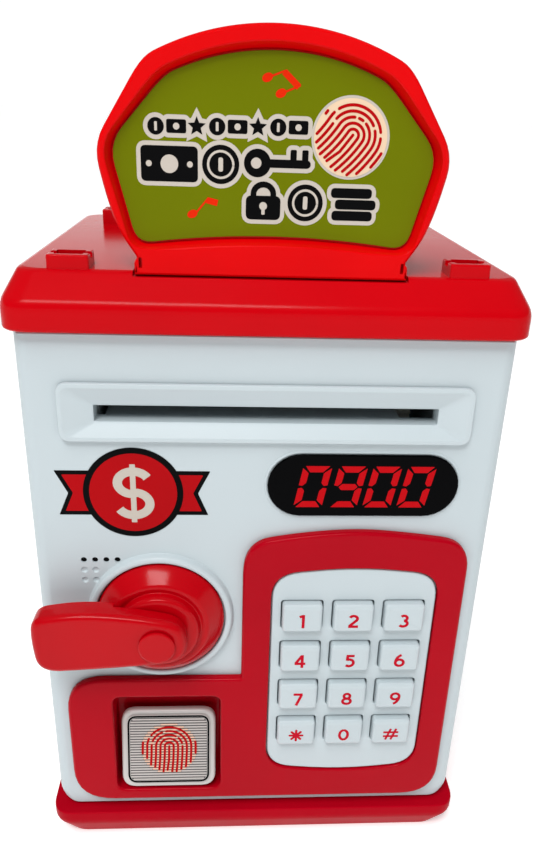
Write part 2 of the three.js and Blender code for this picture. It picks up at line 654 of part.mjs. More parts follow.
function knobDisc() {
  const disc = turnedY(KNOB_X, KNOB_Z, [
    [0, FRONT_Y - GAP], [DISC_RADIUS, FRONT_Y - GAP], [DISC_RADIUS, FRONT_Y - 1.8], [17.6, FRONT_Y - 3],
    [14.4, FRONT_Y - 6], [13.4, FRONT_Y - 6.3], [11.7, FRONT_Y - 6.1], [11.2, FRONT_Y - 8.4],
    [10.4, FRONT_Y - 8.8], [0, FRONT_Y - 8.8],
  ], 48);
  const spindle = rodY(KNOB_X, FRONT_Y - 1, SPINDLE_BACK_Y, KNOB_Z, SPINDLE_RADIUS);
  const tip = rodY(KNOB_X, SPINDLE_BACK_Y - 1, TIP_BACK_Y, KNOB_Z, CAM_BORE - GAP);
  return cut(join(disc, spindle, tip), rodY(KNOB_X, -46, -36, KNOB_Z, 1.5, 12));
}

function lever() {
  const arm = outline([
    [-64, 97.5, 4], [-50, 99.7, 9], [-33, 97.9, 8], [-21.8, 95.1, 8], [-21.4, 82.7, 8], [-36, 81.1, 9],
    [-63.2, 79.2, 7], [-64.5, 90, 5],
  ]);
  const bar = front(arm, LEVER_FRONT_Y, LEVER_BACK_Y, 6);
  const outerHalf = box(-CAP_HALF_WIDTH, LEVER_END.x, LEVER_FRONT_Y, 0, 0, BODY_TOP);
  const back = front(arm, LEVER_BACK_Y - 1, LEVER_END.backY, 6).intersect(outerHalf);
  return join(bar, back);
}

function latchCam() {
  const tongue = outline([
    [KNOB_X - 3.5, KNOB_Z - 30, 2.5], [KNOB_X + 3.5, KNOB_Z - 30, 2.5],
    [KNOB_X + 3.5, KNOB_Z], [KNOB_X - 3.5, KNOB_Z],
  ]);
  const plate = join(front(tongue, ...CAM_Y), rodY(KNOB_X, ...CAM_Y, KNOB_Z, 6.5));
  return cut(plate, rodY(KNOB_X, -41, -36, KNOB_Z, CAM_BORE));
}

function knobScrew() {
  const head = rodY(KNOB_X, -36.4, -34.6, KNOB_Z, 4.2);
  const driveSlot = box(KNOB_X - 3, KNOB_X + 3, -35.4, -34, KNOB_Z - 0.5, KNOB_Z + 0.5);
  return cut(join(head, rodY(KNOB_X, -45, -36, KNOB_Z, 1.2, 12)), driveSlot);
}

piece('knob_disc', knobDisc(), red, doorGroup);
piece('lever', lever(), red, doorGroup);
piece('lever_cap', rodY(KNOB_X, LEVER_FRONT_Y - 1.2, LEVER_FRONT_Y - GAP, KNOB_Z, 5.1, 28), red, doorGroup);
piece('latch_cam', latchCam(), nylon, doorGroup);
piece('knob_screw', knobScrew(), steel, doorGroup);

// ---- Electric lock ------------------------------------------------------------------------------

function lockSolenoid() {
  const coil = box(PLUNGER_X - 6, PLUNGER_X + 6, -53.1, -46.8, PLUNGER_Z - 6, PLUNGER_Z + 6);
  return cut(coil, rodY(PLUNGER_X, -52, -46, PLUNGER_Z, 1.9));
}

piece('lock_solenoid', lockSolenoid(), steel, doorGroup);
piece('lock_plunger', rodY(PLUNGER_X, -51.6, -40.2, PLUNGER_Z, 1.5, 16), steel, doorGroup);

// ---- Back cover with battery box and feed box -----------------------------------------------------

const COVER = { y0: -46.3, y1: -44.4 };
const FEED_BOX = { x0: -48, x1: 50, y1: -18, z0: 124, z1: 170 };
const BATTERY_BOX = { x0: -5, x1: 51.5, y1: -18, z0: 19.5, z1: 70.5 };
const BOX_WALL = 2;

function openBox({ x0, x1, y1, z0, z1 }, rearWall) {
  const outside = box(x0, x1, COVER.y1 - 1, y1, z0, z1);
  const insideEnd = rearWall ? y1 - BOX_WALL : y1 + 1;
  return { outside, inside: box(x0 + BOX_WALL, x1 - BOX_WALL, -60, insideEnd, z0 + BOX_WALL, z1 - BOX_WALL) };
}

function backCover() {
  const plate = front(roundedBox(-62.2, 56.2, 16.4, 171.6, 4), COVER.y0, COVER.y1);
  const feed = openBox(FEED_BOX, true);
  const battery = openBox(BATTERY_BOX, false);
  const noteExit = box(-46, 46, -22, -10, SLOT_Z - 3, SLOT_Z + 3);
  const shaftHoles = [FEED_Z, PINCH_Z].map((z) => rodX(-60, 60, ROLLER_Y, z, 1.6, 24));
  const spindleHole = rodY(KNOB_X, -50, -40, KNOB_Z, 4.6);
  const plungerHole = rodY(PLUNGER_X, -50, -40, PLUNGER_Z, 2);
  const walls = join(plate, feed.outside, battery.outside);
  return cut(walls, feed.inside, battery.inside, noteExit, ...shaftHoles, spindleHole, plungerHole);
}

function batteryCover() {
  const { x0, x1, y1, z0, z1 } = BATTERY_BOX;
  const inset = BOX_WALL + GAP;
  const plate = box(x0 + inset, x1 - inset, y1 - 2, y1, z0 + inset, z1 - inset);
  const grips = [0, 1, 2].map((i) => box(16, 30, y1 - 0.6, y1 + 1, 28 + i * 3, 29.2 + i * 3));
  return cut(plate, ...grips);
}

function battery(z) {
  const profile = [[0, 0], [7.1, 0], [7.1, 48.6], [2.6, 48.6], [2.6, 50], [0, 50]];
  const points = profile.map(([radius, along]) => new THREE.Vector2(radius, along));
  const placement = new THREE.Matrix4().makeRotationZ(-Math.PI / 2).setPosition(-1.6, ROLLER_Y, z);
  return solid(new THREE.LatheGeometry(points, ROUND), placement);
}

function speaker() {
  return turnedY(-46.5, 106, [
    [0, -53.1], [12, -53.1], [12, -51.6], [6.5, -50.2], [6.5, -47], [0, -47],
  ], 24);
}

piece('back_cover', backCover(), white, doorGroup);
piece('battery_cover', batteryCover(), white, doorGroup);
[29.6, 45, 60.4].forEach((z, i) => piece(`battery_${i + 1}`, battery(z), cell, doorGroup));
piece('speaker', speaker(), rubber, doorGroup);
piece('note_guide', box(-44, 37, -49.6, -37.4, 148.2, 149.6), white, doorGroup);

// ---- Note feed ----------------------------------------------------------------------------------

// A spur gear drawn from the side as (y, z), its first tooth at startAngle.
function gear(teeth, centreY, centreZ, x0, x1, startAngle, bore) {
  const pitchRadius = GEAR_MODULE * teeth / 2;
  const tipRadius = pitchRadius + GEAR_MODULE * 0.8;
  const rootRadius = pitchRadius - GEAR_MODULE * 1.15;
  const step = Math.PI * 2 / teeth;
  const shape = new THREE.Shape();
  for (let i = 0; i < teeth; i += 1) {
    const corners = [[rootRadius, -0.3], [tipRadius, -0.12], [tipRadius, 0.12], [rootRadius, 0.3]];
    corners.forEach(([radius, share], corner) => {
      const angle = startAngle + (i + share) * step;
      const y = centreY + radius * Math.cos(angle);
      const z = centreZ + radius * Math.sin(angle);
      if (i === 0 && corner === 0) shape.moveTo(y, z);
      else shape.lineTo(y, z);
    });
  }
  shape.closePath();
  return cut(side(shape, x0, x1), rodX(x0 - 1, x1 + 1, centreY, centreZ, bore, 16));
}

const SHAFT_RADIUS = 1.5;
const GEAR_X = [38.4, 42.4];
const ROLLER_SPANS = { left: [-18, -8], right: [8, 18] };

function roller([x0, x1], z, radius) {
  return cut(rodX(x0, x1, ROLLER_Y, z, radius, 24), rodX(x0 - 1, x1 + 1, ROLLER_Y, z, SHAFT_RADIUS + GAP, 16));
}

const downTooth = -Math.PI / 2;
const upGap = Math.PI / 2 + Math.PI / PINION_TEETH;
piece('feed_shaft', rodX(-47.4, 49.4, ROLLER_Y, FEED_Z, SHAFT_RADIUS, 16), steel, doorGroup);
piece('pinch_shaft', rodX(-47.4, 49.4, ROLLER_Y, PINCH_Z, SHAFT_RADIUS, 16), steel, doorGroup);
Object.entries(ROLLER_SPANS).forEach(([where, span]) => {
  piece(`feed_roller_${where}`, roller(span, FEED_Z, 5), rubber, doorGroup);
  piece(`pinch_roller_${where}`, roller(span, PINCH_Z, 4.2), rubber, doorGroup);
});
const feedGear = gear(FEED_TEETH, ROLLER_Y, FEED_Z, ...GEAR_X, downTooth, SHAFT_RADIUS + GAP);
piece('feed_gear', feedGear, nylon, doorGroup);
piece('motor_pinion', gear(PINION_TEETH, ROLLER_Y, MOTOR_Z, ...GEAR_X, upGap, 1), nylon, doorGroup);
piece('feed_motor', join(rodX(20, 37.4, ROLLER_Y, MOTOR_Z, 7, 24), rodX(37, 43, ROLLER_Y, MOTOR_Z, 0.7, 8)),
  steel, doorGroup);

export default part;
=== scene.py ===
import math
import random
import bmesh
import bpy
from mathutils import Matrix, Vector


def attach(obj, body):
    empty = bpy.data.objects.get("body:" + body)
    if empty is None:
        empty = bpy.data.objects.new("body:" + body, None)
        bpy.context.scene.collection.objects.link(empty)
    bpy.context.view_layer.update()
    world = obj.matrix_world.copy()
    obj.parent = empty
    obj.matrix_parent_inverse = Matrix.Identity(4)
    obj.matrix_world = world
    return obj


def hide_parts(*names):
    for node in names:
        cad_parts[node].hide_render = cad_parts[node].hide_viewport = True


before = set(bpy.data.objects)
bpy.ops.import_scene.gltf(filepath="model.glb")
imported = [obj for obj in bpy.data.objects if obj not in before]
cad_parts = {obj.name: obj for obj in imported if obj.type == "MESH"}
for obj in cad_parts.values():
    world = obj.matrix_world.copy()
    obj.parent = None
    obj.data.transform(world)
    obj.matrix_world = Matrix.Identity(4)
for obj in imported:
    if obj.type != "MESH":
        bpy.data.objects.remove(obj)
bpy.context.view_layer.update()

# Drawn in millimetres, +Z up, +Y to the back; every mesh is scaled to metres as it is made.
MM = 0.001

# ---- Named sizes ----

FRONT = -56.0
GAP = 0.3
BODY_HALF_WIDTH = 65.0
BACK_Y = 56.0
WALL = 2.4
BASE_HEIGHT = 13.0
BODY_TOP = 175.0
LID_BAND = 6.8
LID_TOP = 189.4
CAP_HALF = (67.2, 59.5)
DOOR_REAR_Y = -44.0
DOOR_PLATE_REAR_Y = -53.5
DOOR_Z = (13.4, 174.6)
HINGE = (61.0, -48.0)
BARREL_RADIUS = 4.0
PIN_BORE = 1.6
PIN_RADIUS = 1.5
SLOT_Z = 152.5
SLOT_HALF = (45.8, 2.3)
BEZEL = (54.8, 145.2, 161.4)
LENS = (0.3, 53.5, 123.0, 141.7)
KNOB = (-29.8, 89.0)
RING_RADII = (18.9, 21.0)
DISC_RADIUS = 18.5
LEVER_Y = (-70.4, -65.1)
FASCIA_Y = -58.6
KEYPAD = (2.7, 51.1, 31.3, 104.3)
KEYPAD_BULGE = 2.6
KEY_SIZE = (11.8, 9.4)
KEY_PITCH = (15.1, 14.56)
KEY_FIRST = (11.6, 90.5)
KEY_FRONT_Y, KEY_REAR_Y = -60.6, -52.2
POCKET = (-45.4, -12.2, 21.9, 60.2)
PAD_SIZE = (30.0, 27.6)
PAD_CENTRE = (-28.8, -55.9, 36.7)
PAD_TILT = math.radians(-11.5)
SIGN_Y = (-53.6, -45.6)
SIGN_FLOOR_Y = -50.1
NOTCH_Z = LID_TOP - 1.3
NOTCH_HALF = 34.4
ARCH_RADIUS = 63.9
ARCH_STEPS = 6
SIGN_TOP = 244.7
ROLLER_Y = -31.0
FEED_Z = 147.2
PINCH_Z = 156.85

# ---- Materials ----


def srgb(red, green, blue):
    """Linear colour of an 8-bit screen colour."""
    return tuple(c / 12.92 if c <= 0.04045 else ((c + 0.055) / 1.055) ** 2.4
                 for c in (red / 255, green / 255, blue / 255)) + (1.0,)


def finish(name, colour, roughness, shift=0.05, grain=2600.0, bump=0.04, metallic=0.0, specular=0.5,
           glow=0.0):
    """A moulded or painted finish: cloudy colour, uneven gloss and a fine surface grain."""
    material = bpy.data.materials.new(name)
    material.use_nodes = True
    nodes, links = material.node_tree.nodes, material.node_tree.links
    shader = nodes["Principled BSDF"]
    shader.inputs["Metallic"].default_value = metallic
    shader.inputs["Specular IOR Level"].default_value = specular
    shader.inputs["Emission Color"].default_value = (1.0, 1.0, 1.0, 1.0)
    shader.inputs["Emission Strength"].default_value = glow
    place = nodes.new("ShaderNodeTexCoord")

    def noise(scale, detail):
        texture = nodes.new("ShaderNodeTexNoise")
        texture.inputs["Scale"].default_value = scale
        texture.inputs["Detail"].default_value = detail
        links.new(place.outputs["Object"], texture.inputs["Vector"])
        return texture.outputs["Fac"]

    clouds, smudges, texture = noise(28.0, 4.0), noise(55.0, 6.0), noise(grain, 2.0)
    ramp = nodes.new("ShaderNodeValToRGB")
    ramp.color_ramp.elements[0].position = 0.3
    ramp.color_ramp.elements[1].position = 0.7
    ramp.color_ramp.elements[0].color = tuple(c * (1 - shift) for c in colour[:3]) + (1.0,)
    ramp.color_ramp.elements[1].color = tuple(min(1.0, c * (1 + shift)) for c in colour[:3]) + (1.0,)
    links.new(clouds, ramp.inputs["Fac"])
    links.new(ramp.outputs["Color"], shader.inputs["Base Color"])
    gloss = nodes.new("ShaderNodeMapRange")
    gloss.inputs["To Min"].default_value = roughness * 0.8
    gloss.inputs["To Max"].default_value = roughness * 1.2
    links.new(smudges, gloss.inputs["Value"])
    links.new(gloss.outputs["Result"], shader.inputs["Roughness"])
    relief = nodes.new("ShaderNodeBump")
    relief.inputs["Strength"].default_value = bump
    relief.inputs["Distance"].default_value = 0.0002
    links.new(texture, relief.inputs["Height"])
    links.new(relief.outputs["Normal"], shader.inputs["Normal"])
    return material


WHITE = finish("white_abs", srgb(180, 191, 195), 0.36, shift=0.012, bump=0.05)
RED = finish("red_abs", srgb(161, 0, 20), 0.2, bump=0.03, specular=0.07)
RED_GLOSS = finish("red_abs_knob", srgb(172, 0, 12), 0.17, bump=0.02, specular=0.14)
# The next two are brighter copies of the same red plastic, for the sign frame and the lid: painted light,
# standing in for the stronger light these parts catch.
RED_SIGN_PAINTED_LIGHT = finish("red_abs_sign_painted_light", srgb(204, 2, 6), 0.2, bump=0.03, specular=0.06)
RED_LID_PAINTED_LIGHT = finish("red_abs_lid_painted_light", srgb(182, 0, 10), 0.18, bump=0.03, specular=0.08)
RED_MATT = finish("red_abs_base", srgb(164, 0, 22), 0.4, bump=0.06, specular=0.03)
GREEN = finish("green_print", srgb(98, 107, 0), 0.3, shift=0.04, grain=900.0, bump=0.03, specular=0.05)
LENS_BLACK = finish("black_lens", srgb(3, 3, 4), 0.14, shift=0.3, bump=0.01, specular=0.03)
INK_BLACK = finish("black_ink", srgb(6, 6, 7), 0.42, shift=0.3, specular=0.04)
INK_RED = finish("red_ink", srgb(164, 2, 10), 0.42, shift=0.06, specular=0.06)
INK_KEY = finish("key_red_ink", srgb(178, 4, 32), 0.42, shift=0.06, specular=0.06)
INK_GREY = finish("grey_ink", srgb(184, 176, 166), 0.42, shift=0.03, specular=0.1)
INK_CREAM = finish("cream_ink", srgb(216, 190, 160), 0.4, shift=0.03, specular=0.1)
INK_ORANGE = finish("orange_ink", srgb(206, 36, 4), 0.4, shift=0.06, specular=0.05)
SEGMENT = finish("red_segment", srgb(178, 4, 14), 0.35, bump=0.02, specular=0.05)
STEEL = finish("steel", srgb(176, 178, 182), 0.3, grain=1500.0, bump=0.05, metallic=1.0)
RUBBER = finish("rubber", srgb(44, 44, 46), 0.8, shift=0.12, grain=1800.0, bump=0.2)
BOARD = finish("circuit_board", srgb(26, 98, 52), 0.45, shift=0.15, bump=0.1)
NYLON = finish("nylon", srgb(232, 229, 216), 0.42, shift=0.03, bump=0.06)
CELL = finish("battery_skin", srgb(40, 74, 128), 0.36, shift=0.08)
PAD_GREY = finish("pad_grey", srgb(74, 72, 71), 0.45, bump=0.05)
PAD_FRAME = finish("pad_frame", srgb(186, 184, 181), 0.3, shift=0.04, grain=1400.0)
PAD_SILVER = finish("pad_silver", srgb(184, 179, 175), 0.35, shift=0.04, grain=1400.0, bump=0.06)
PAD_BLUSH = finish("pad_blush", srgb(222, 184, 160), 0.38, bump=0.06)
SLOTS = {
    WHITE: "white_plastic", RED: "red_plastic", RED_GLOSS: "red_plastic", RED_SIGN_PAINTED_LIGHT: "red_plastic",
    RED_LID_PAINTED_LIGHT: "red_plastic", RED_MATT: "red_plastic", GREEN: "green_label", LENS_BLACK: "black_lens",
    STEEL: "steel", RUBBER: "rubber", BOARD: "circuit_board", NYLON: "nylon", CELL: "battery_skin",
}

# ---- Outlines ----


def softened(path, closed=True, steps=5):
    """A path through tuples whose last number is how far back each corner starts to round."""
    points, count = [], len(path)
    for i, corner in enumerate(path):
        here, reach = Vector(corner[:-1]), corner[-1]
        ends = not closed and i in (0, count - 1)
        if reach <= 0 or ends:
            points.append(here)
            continue
        back = Vector(path[i - 1][:-1]) - here
        ahead = Vector(path[(i + 1) % count][:-1]) - here
        start = here + back * min(reach / math.sqrt(back.dot(back)), 0.49)
        end = here + ahead * min(reach / math.sqrt(ahead.dot(ahead)), 0.49)
        for step in range(steps + 1):
            t = step / steps
            points.append(start * (1 - t) ** 2 + here * 2 * t * (1 - t) + end * t * t)
    return points


def box_outline(x0, x1, z0, z1, radius, steps=5):
    return softened([(x0, z0, radius), (x1, z0, radius), (x1, z1, radius), (x0, z1, radius)], steps=steps)


def box_about(x, z, half_x, half_z, radius, steps=5):
    return box_outline(x - half_x, x + half_x, z - half_z, z + half_z, radius, steps)


def circle(x, z, radius, count=48):
    return [Vector((x + radius * math.cos(a), z + radius * math.sin(a)))
            for a in (math.tau * i / count for i in range(count))]


def stadium(x0, x1, z0, z1, count=16):
    radius, middle = (z1 - z0) / 2, (z0 + z1) / 2
    ends = [(x1 - radius, -math.pi / 2), (x0 + radius, math.pi / 2)]
    return [Vector((x + radius * math.cos(start + math.pi * i / count),
                    middle + radius * math.sin(start + math.pi * i / count)))
            for x, start in ends for i in range(count + 1)]


def mirrored(right):
    """The right half of a symmetrical outline's corners, with the left half added."""
    return right + [(-x, z, radius) for x, z, radius in reversed(right) if x != 0]


def area(points):
    return sum(a.x * b.y - b.x * a.y for a, b in zip(points, points[1:] + points[:1])) / 2


def inset(points, distance, scale=(1.0, 1.0)):
    """The outline moved inwards, or outwards for a negative distance."""
    turn = 1.0 if area(points) > 0 else -1.0
    moved = []
    for i, here in enumerate(points):
        sides = []
        for a, b in ((points[i - 1], here), (here, points[(i + 1) % len(points)])):
            way = (b - a).normalized()
            sides.append(Vector((-way.y, way.x)) * turn)
        miter = (sides[0] + sides[1]) / max(0.4, 1 + sides[0].dot(sides[1]))
        moved.append(Vector((here.x + miter.x * distance * scale[0], here.y + miter.y * distance * scale[1])))
    return moved


def stroke(path, width, taper=False):
    """The outline of a pen stroke with round ends along a path of (x, z) points."""
    path = [Vector(p) for p in path]
    left, right = [], []
    for i, here in enumerate(path):
        way = (path[min(i + 1, len(path) - 1)] - path[max(i - 1, 0)]).normalized()
        side = Vector((-way.y, way.x)) * width / 2
        left.append(here + side)
        right.append(here - side)

    def end(centre, start, sign):
        first = math.atan2(start.y - centre.y, start.x - centre.x)
        return [centre + Vector((math.cos(first + sign * a), math.sin(first + sign * a))) * width / 2
                for a in (math.pi * k / 5 for k in range(1, 5))]
    if taper:
        return left + list(reversed(right))
    return left + end(path[-1], left[-1], -1) + list(reversed(right)) + end(path[0], right[0], -1)


def arc(x, z, radius_x, radius_z, start, stop, count=12):
    return [Vector((x + radius_x * math.cos(math.radians(a)), z + radius_z * math.sin(math.radians(a))))
            for a in (start + (stop - start) * i / count for i in range(count + 1))]


def turned_by(points, angle, centre):
    """Points turned about the origin, then moved to a centre."""
    c, s = math.cos(math.radians(angle)), math.sin(math.radians(angle))
    return [Vector((p[0] * c - p[1] * s + centre[0], p[0] * s + p[1] * c + centre[1])) for p in points]


# ---- Meshes ----


def at_depth(point, y):
    return Vector((point[0], y, point[1]))


def at_height(point, z):
    return Vector((point[0], point[1], z))


def outward(bm, name):
    """The finished mesh with every face turned outwards."""
    bmesh.ops.recalc_face_normals(bm, faces=bm.faces)
    if bm.calc_volume(signed=True) < 0:
        bmesh.ops.reverse_faces(bm, faces=bm.faces)
    data = bpy.data.meshes.new(name)
    bm.to_mesh(data)
    bm.free()
    return data


class Shell:
    """A closed surface made of loops of points, skins between loops and flat ends."""

    def __init__(self, place=at_depth):
        self.bm = bmesh.new()
        self.place = place

    def loop(self, points, level):
        return [self.bm.verts.new(self.place(p, level)) for p in points]

    def skin(self, a, b):
        count = len(a)
        for i in range(count):
            j = (i + 1) % count
            self.bm.faces.new((a[i], a[j], b[j], b[i]))

    def stack(self, outlines_and_levels):
        """Loops one after another with a skin between each two; gives the first and last loop."""
        loops = [self.loop(points, level) for points, level in outlines_and_levels]
        for a, b in zip(loops, loops[1:]):
            self.skin(a, b)
        return loops[0], loops[-1]

    def fill(self, *loops):
        """A flat face bounded by the first loop, with the others as holes in it."""
        if len(loops) == 1:
            self.bm.faces.new(loops[0])
            return
        edges = []
        for loop in loops:
            for a, b in zip(loop, loop[1:] + loop[:1]):
                edges.append(self.bm.edges.get((a, b)) or self.bm.edges.new((a, b)))
        bmesh.ops.triangle_fill(self.bm, edges=edges, use_beauty=True, use_dissolve=False)

    def mesh(self, name):
        return outward(self.bm, name)


def lofted(name, rings, place=at_depth, looped=False):
    """A solid through loops one after another, with flat ends or, when looped, joined end to end."""
    shell = Shell(place)
    first, last = shell.stack(rings)
    if looped:
        shell.skin(last, first)
    else:
        shell.fill(first)
        shell.fill(last)
    return shell.mesh(name)


def rounded_edge(back, face, radius, steps=4):
    """(inset, level) pairs of a wall that ends in a quarter round at its face."""
    if not radius:
        return [(0.0, back), (0.0, face)]
    towards = 1.0 if back > face else -1.0
    pairs = [(0.0, back)]
    for i in range(steps + 1):
        angle = math.pi / 2 * i / steps
        pairs.append((radius * (1 - math.cos(angle)), face + towards * radius * (1 - math.sin(angle))))
    return pairs


def slab_mesh(name, outline, back, face, radius=0.3, holes=(), place=at_depth, steps=4):
    """A plate from back to face with rounded face edges. Each hole is (outline, edge radius)."""
    shell = Shell(place)
    wall = [(inset(outline, d), level) for d, level in rounded_edge(back, face, radius, steps)]
    bores = [[(inset(hole, -d), level) for d, level in rounded_edge(back, face, hole_radius, 3)]
             for hole, hole_radius in holes]
    firsts, lasts = zip(*[shell.stack(rings) for rings in [wall, *bores]])
    shell.fill(*firsts)
    shell.fill(*lasts)
    return shell.mesh(name)


AXES = {
    "x": lambda along, a, b: Vector((along, a, b)),
    "y": lambda along, a, b: Vector((a, along, b)),
    "z": lambda along, a, b: Vector((a, b, along)),
}


def turned_mesh(name, profile, axis, centre, closed=False, count=64):
    """A profile of (radius, along, rounding) corners turned about an axis through centre."""
    bm = bmesh.new()
    points = softened(profile, closed=closed, steps=4)
    rings = []
    for radius, along in points:
        if radius < 1e-6:
            rings.append([bm.verts.new(AXES[axis](along, *centre))])
            continue
        rings.append([bm.verts.new(AXES[axis](along, *at)) for at in circle(*centre, radius, count)])
    pairs = list(zip(rings, rings[1:])) + ([(rings[-1], rings[0])] if closed else [])
    for a, b in pairs:
        for i in range(count):
            j = (i + 1) % count
            if len(a) == 1 and len(b) > 1:
                bm.faces.new((a[0], b[j], b[i]))
            elif len(b) == 1 and len(a) > 1:
                bm.faces.new((a[i], a[j], b[0]))
            elif len(a) > 1:
                bm.faces.new((a[i], a[j], b[j], b[i]))
    return outward(bm, name)


def rod_mesh(name, axis, centre, start, stop, radius, soft=0.25, count=48):
    profile = [(0, start, 0), (radius, start, soft), (radius, stop, soft), (0, stop, 0)]
    return turned_mesh(name, profile, axis, centre, count=count)


def block_mesh(name, x0, x1, y0, y1, z0, z1, soft=0.3, radius=None):
    """A box with rounded edges all round, drawn from the front."""
    middle = (y0 + y1) / 2
    rings = rounded_edge(middle, y1, soft, 3)[:0:-1] + rounded_edge(middle, y0, soft, 3)[1:]
    outline = box_outline(x0, x1, z0, z1, soft * 2 if radius is None else radius, steps=4)
    return lofted(name, [(inset(outline, d), y) for d, y in rings])


def joined(name, meshes):
    """Several closed meshes as one, without welding them."""
    bm = bmesh.new()
    for data in meshes:
        bm.from_mesh(data)
        bpy.data.meshes.remove(data)
    data = bpy.data.meshes.new(name)
    bm.to_mesh(data)
    bm.free()
    return data


CUT, FUSE, BEVEL = "DIFFERENCE", "UNION", "BEVEL"


def shaped(data, *steps):
    """The mesh after booleans and bevels: each step is (kind, mesh or (width, segments))."""
    scene = bpy.context.scene.collection
    work = bpy.data.objects.new("work", data)
    scene.objects.link(work)
    helpers = []
    for kind, value in steps:
        if kind == BEVEL:
            bevel = work.modifiers.new("bevel", BEVEL)
            bevel.width, bevel.segments = value
            bevel.limit_method = "ANGLE"
            bevel.angle_limit = math.radians(40)
            bevel.use_clamp_overlap = True
            continue
        helper = bpy.data.objects.new("helper", value)
        scene.objects.link(helper)
        helper.hide_render = True
        helpers.append(helper)
        boolean = work.modifiers.new("boolean", "BOOLEAN")
        boolean.operation = kind
        boolean.solver = "EXACT"
        boolean.object = helper
    bpy.context.view_layer.update()
    result = bpy.data.meshes.new_from_object(work.evaluated_get(bpy.context.evaluated_depsgraph_get()))
    result.name = data.name
    for thing in [work, *helpers]:
        old = thing.data
        bpy.data.objects.remove(thing)
        bpy.data.meshes.remove(old)
    return result


def add(name, data, material, body, slot, replaces=(), sharp=32, turn=None, flat=False):
    """Puts a millimetre mesh into the scene as a piece that rides on a body."""
    if turn is not None:
        data.transform(turn)
    data.transform(Matrix.Scale(MM, 4))
    data.name = name
    piece = bpy.data.objects.new(name, data)
    bpy.context.scene.collection.objects.link(piece)
    data.materials.clear()
    data.materials.append(material)
    for polygon in data.polygons:
        polygon.use_smooth = not flat
    if not flat:
        data.set_sharp_from_angle(angle=math.radians(sharp))
        weighted = piece.modifiers.new("weighted_normals", "WEIGHTED_NORMAL")
        weighted.keep_sharp = True
    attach(piece, body)
    if replaces:
        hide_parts(*replaces)
    return piece


def stand(node, data, material, body, **extra):
    """Adds the fine mesh that stands for a CAD node."""
    return add(f"{node}_fine", data, material, body, SLOTS[material], (node,), **extra)


def carried(node, material, body, width=0.2):
    """A fine copy of a CAD node with bevelled edges, standing for the node."""
    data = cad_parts[node].data.copy()
    bm = bmesh.new()
    bm.from_mesh(data)
    bmesh.ops.remove_doubles(bm, verts=bm.verts, dist=1e-6)
    bmesh.ops.dissolve_limit(bm, angle_limit=math.radians(2), verts=bm.verts, edges=bm.edges)
    bm.to_mesh(data)
    bm.free()
    data.transform(Matrix.Scale(1 / MM, 4))
    return stand(node, shaped(data, (BEVEL, (width, 2))), material, body)


PRINT_STAGGER = 0.006


def print_on(name, outlines, material, body, y, slot, depth=0.05, turn=None):
    """Flat print: thin raised plates with the given outlines on a face at y."""
    plates = [slab_mesh(name, points, y, y - depth - PRINT_STAGGER * (i % 4), 0.0, steps=1)
              for i, points in enumerate(outlines)]
    return add(name, joined(name, plates), material, body, slot, turn=turn, flat=True)


# ---- Camera, floor and light ----

CAMERA_PLACE = (-9.9, -242.3, 226.5)
CAMERA_YAW, CAMERA_PITCH, CAMERA_ROLL = (math.radians(a) for a in (-3.94, -23.27, -2.13))

lens = bpy.data.cameras.new("camera")
lens.lens = 31.51
lens.sensor_width = 36.0
lens.shift_x = -0.01397
lens.shift_y = 0.0061
lens.clip_start, lens.clip_end = 0.005, 200.0
camera = bpy.data.objects.new("camera", lens)
bpy.context.scene.collection.objects.link(camera)
camera.matrix_world = (
    Matrix.Translation(Vector(CAMERA_PLACE) * MM)
    @ Matrix.Rotation(CAMERA_YAW, 4, "Z") @ Matrix.Rotation(CAMERA_PITCH, 4, "X")
    @ Matrix.Rotation(CAMERA_ROLL, 4, "Y") @ Matrix.Rotation(math.pi / 2, 4, "X"))
bpy.context.scene.camera = camera

floor_data = bpy.data.meshes.new("floor")
FLOOR_HALF = 60.0
floor_corners = [(x * FLOOR_HALF, y * FLOOR_HALF, 0.0) for x, y in ((-1, -1), (1, -1), (1, 1), (-1, 1))]
floor_data.from_pydata(floor_corners, [], [(0, 1, 2, 3)])
floor = bpy.data.objects.new("floor", floor_data)
bpy.context.scene.collection.objects.link(floor)
PALE = finish("pale_floor", srgb(250, 250, 250), 0.7, shift=0.004, grain=300.0, bump=0.02, glow=0.32)
floor_data.materials.append(PALE)

world = bpy.data.worlds.new("studio")
bpy.context.scene.world = world
world.use_nodes = True
sky = world.node_tree.nodes
direction = sky.new("ShaderNodeTexCoord")
height = sky.new("ShaderNodeSeparateXYZ")
glow = sky.new("ShaderNodeValToRGB")
world.node_tree.links.new(direction.outputs["Generated"], height.inputs["Vector"])
world.node_tree.links.new(height.outputs["Z"], glow.inputs["Fac"])
world.node_tree.links.new(glow.outputs["Color"], sky["Background"].inputs["Color"])
SKY = ((0.0, 1.05), (0.15, 1.05), (0.17, 0.4), (0.22, 0.14), (0.9, 0.45))
for index, (place, level) in enumerate(SKY):
    stop = glow.color_ramp.elements[index] if index < 2 else glow.color_ramp.elements.new(place)
    stop.position = place
    stop.color = (level, level, level, 1.0)
bpy.context.scene.view_settings.view_transform = "Standard"


def area_light(name, place, target, size, power, colour=(1.0, 1.0, 1.0)):
    light = bpy.data.lights.new(name, "AREA")
    light.shape = "RECTANGLE"
    light.size, light.size_y = size
    light.energy = power
    light.color = colour
    lamp = bpy.data.objects.new(name, light)
    lamp.location = place
    lamp.rotation_mode = "QUATERNION"
    lamp.rotation_quaternion = (Vector(target) - Vector(place)).to_track_quat("-Z", "Y")
    lamp.visible_camera = False
    bpy.context.scene.collection.objects.link(lamp)


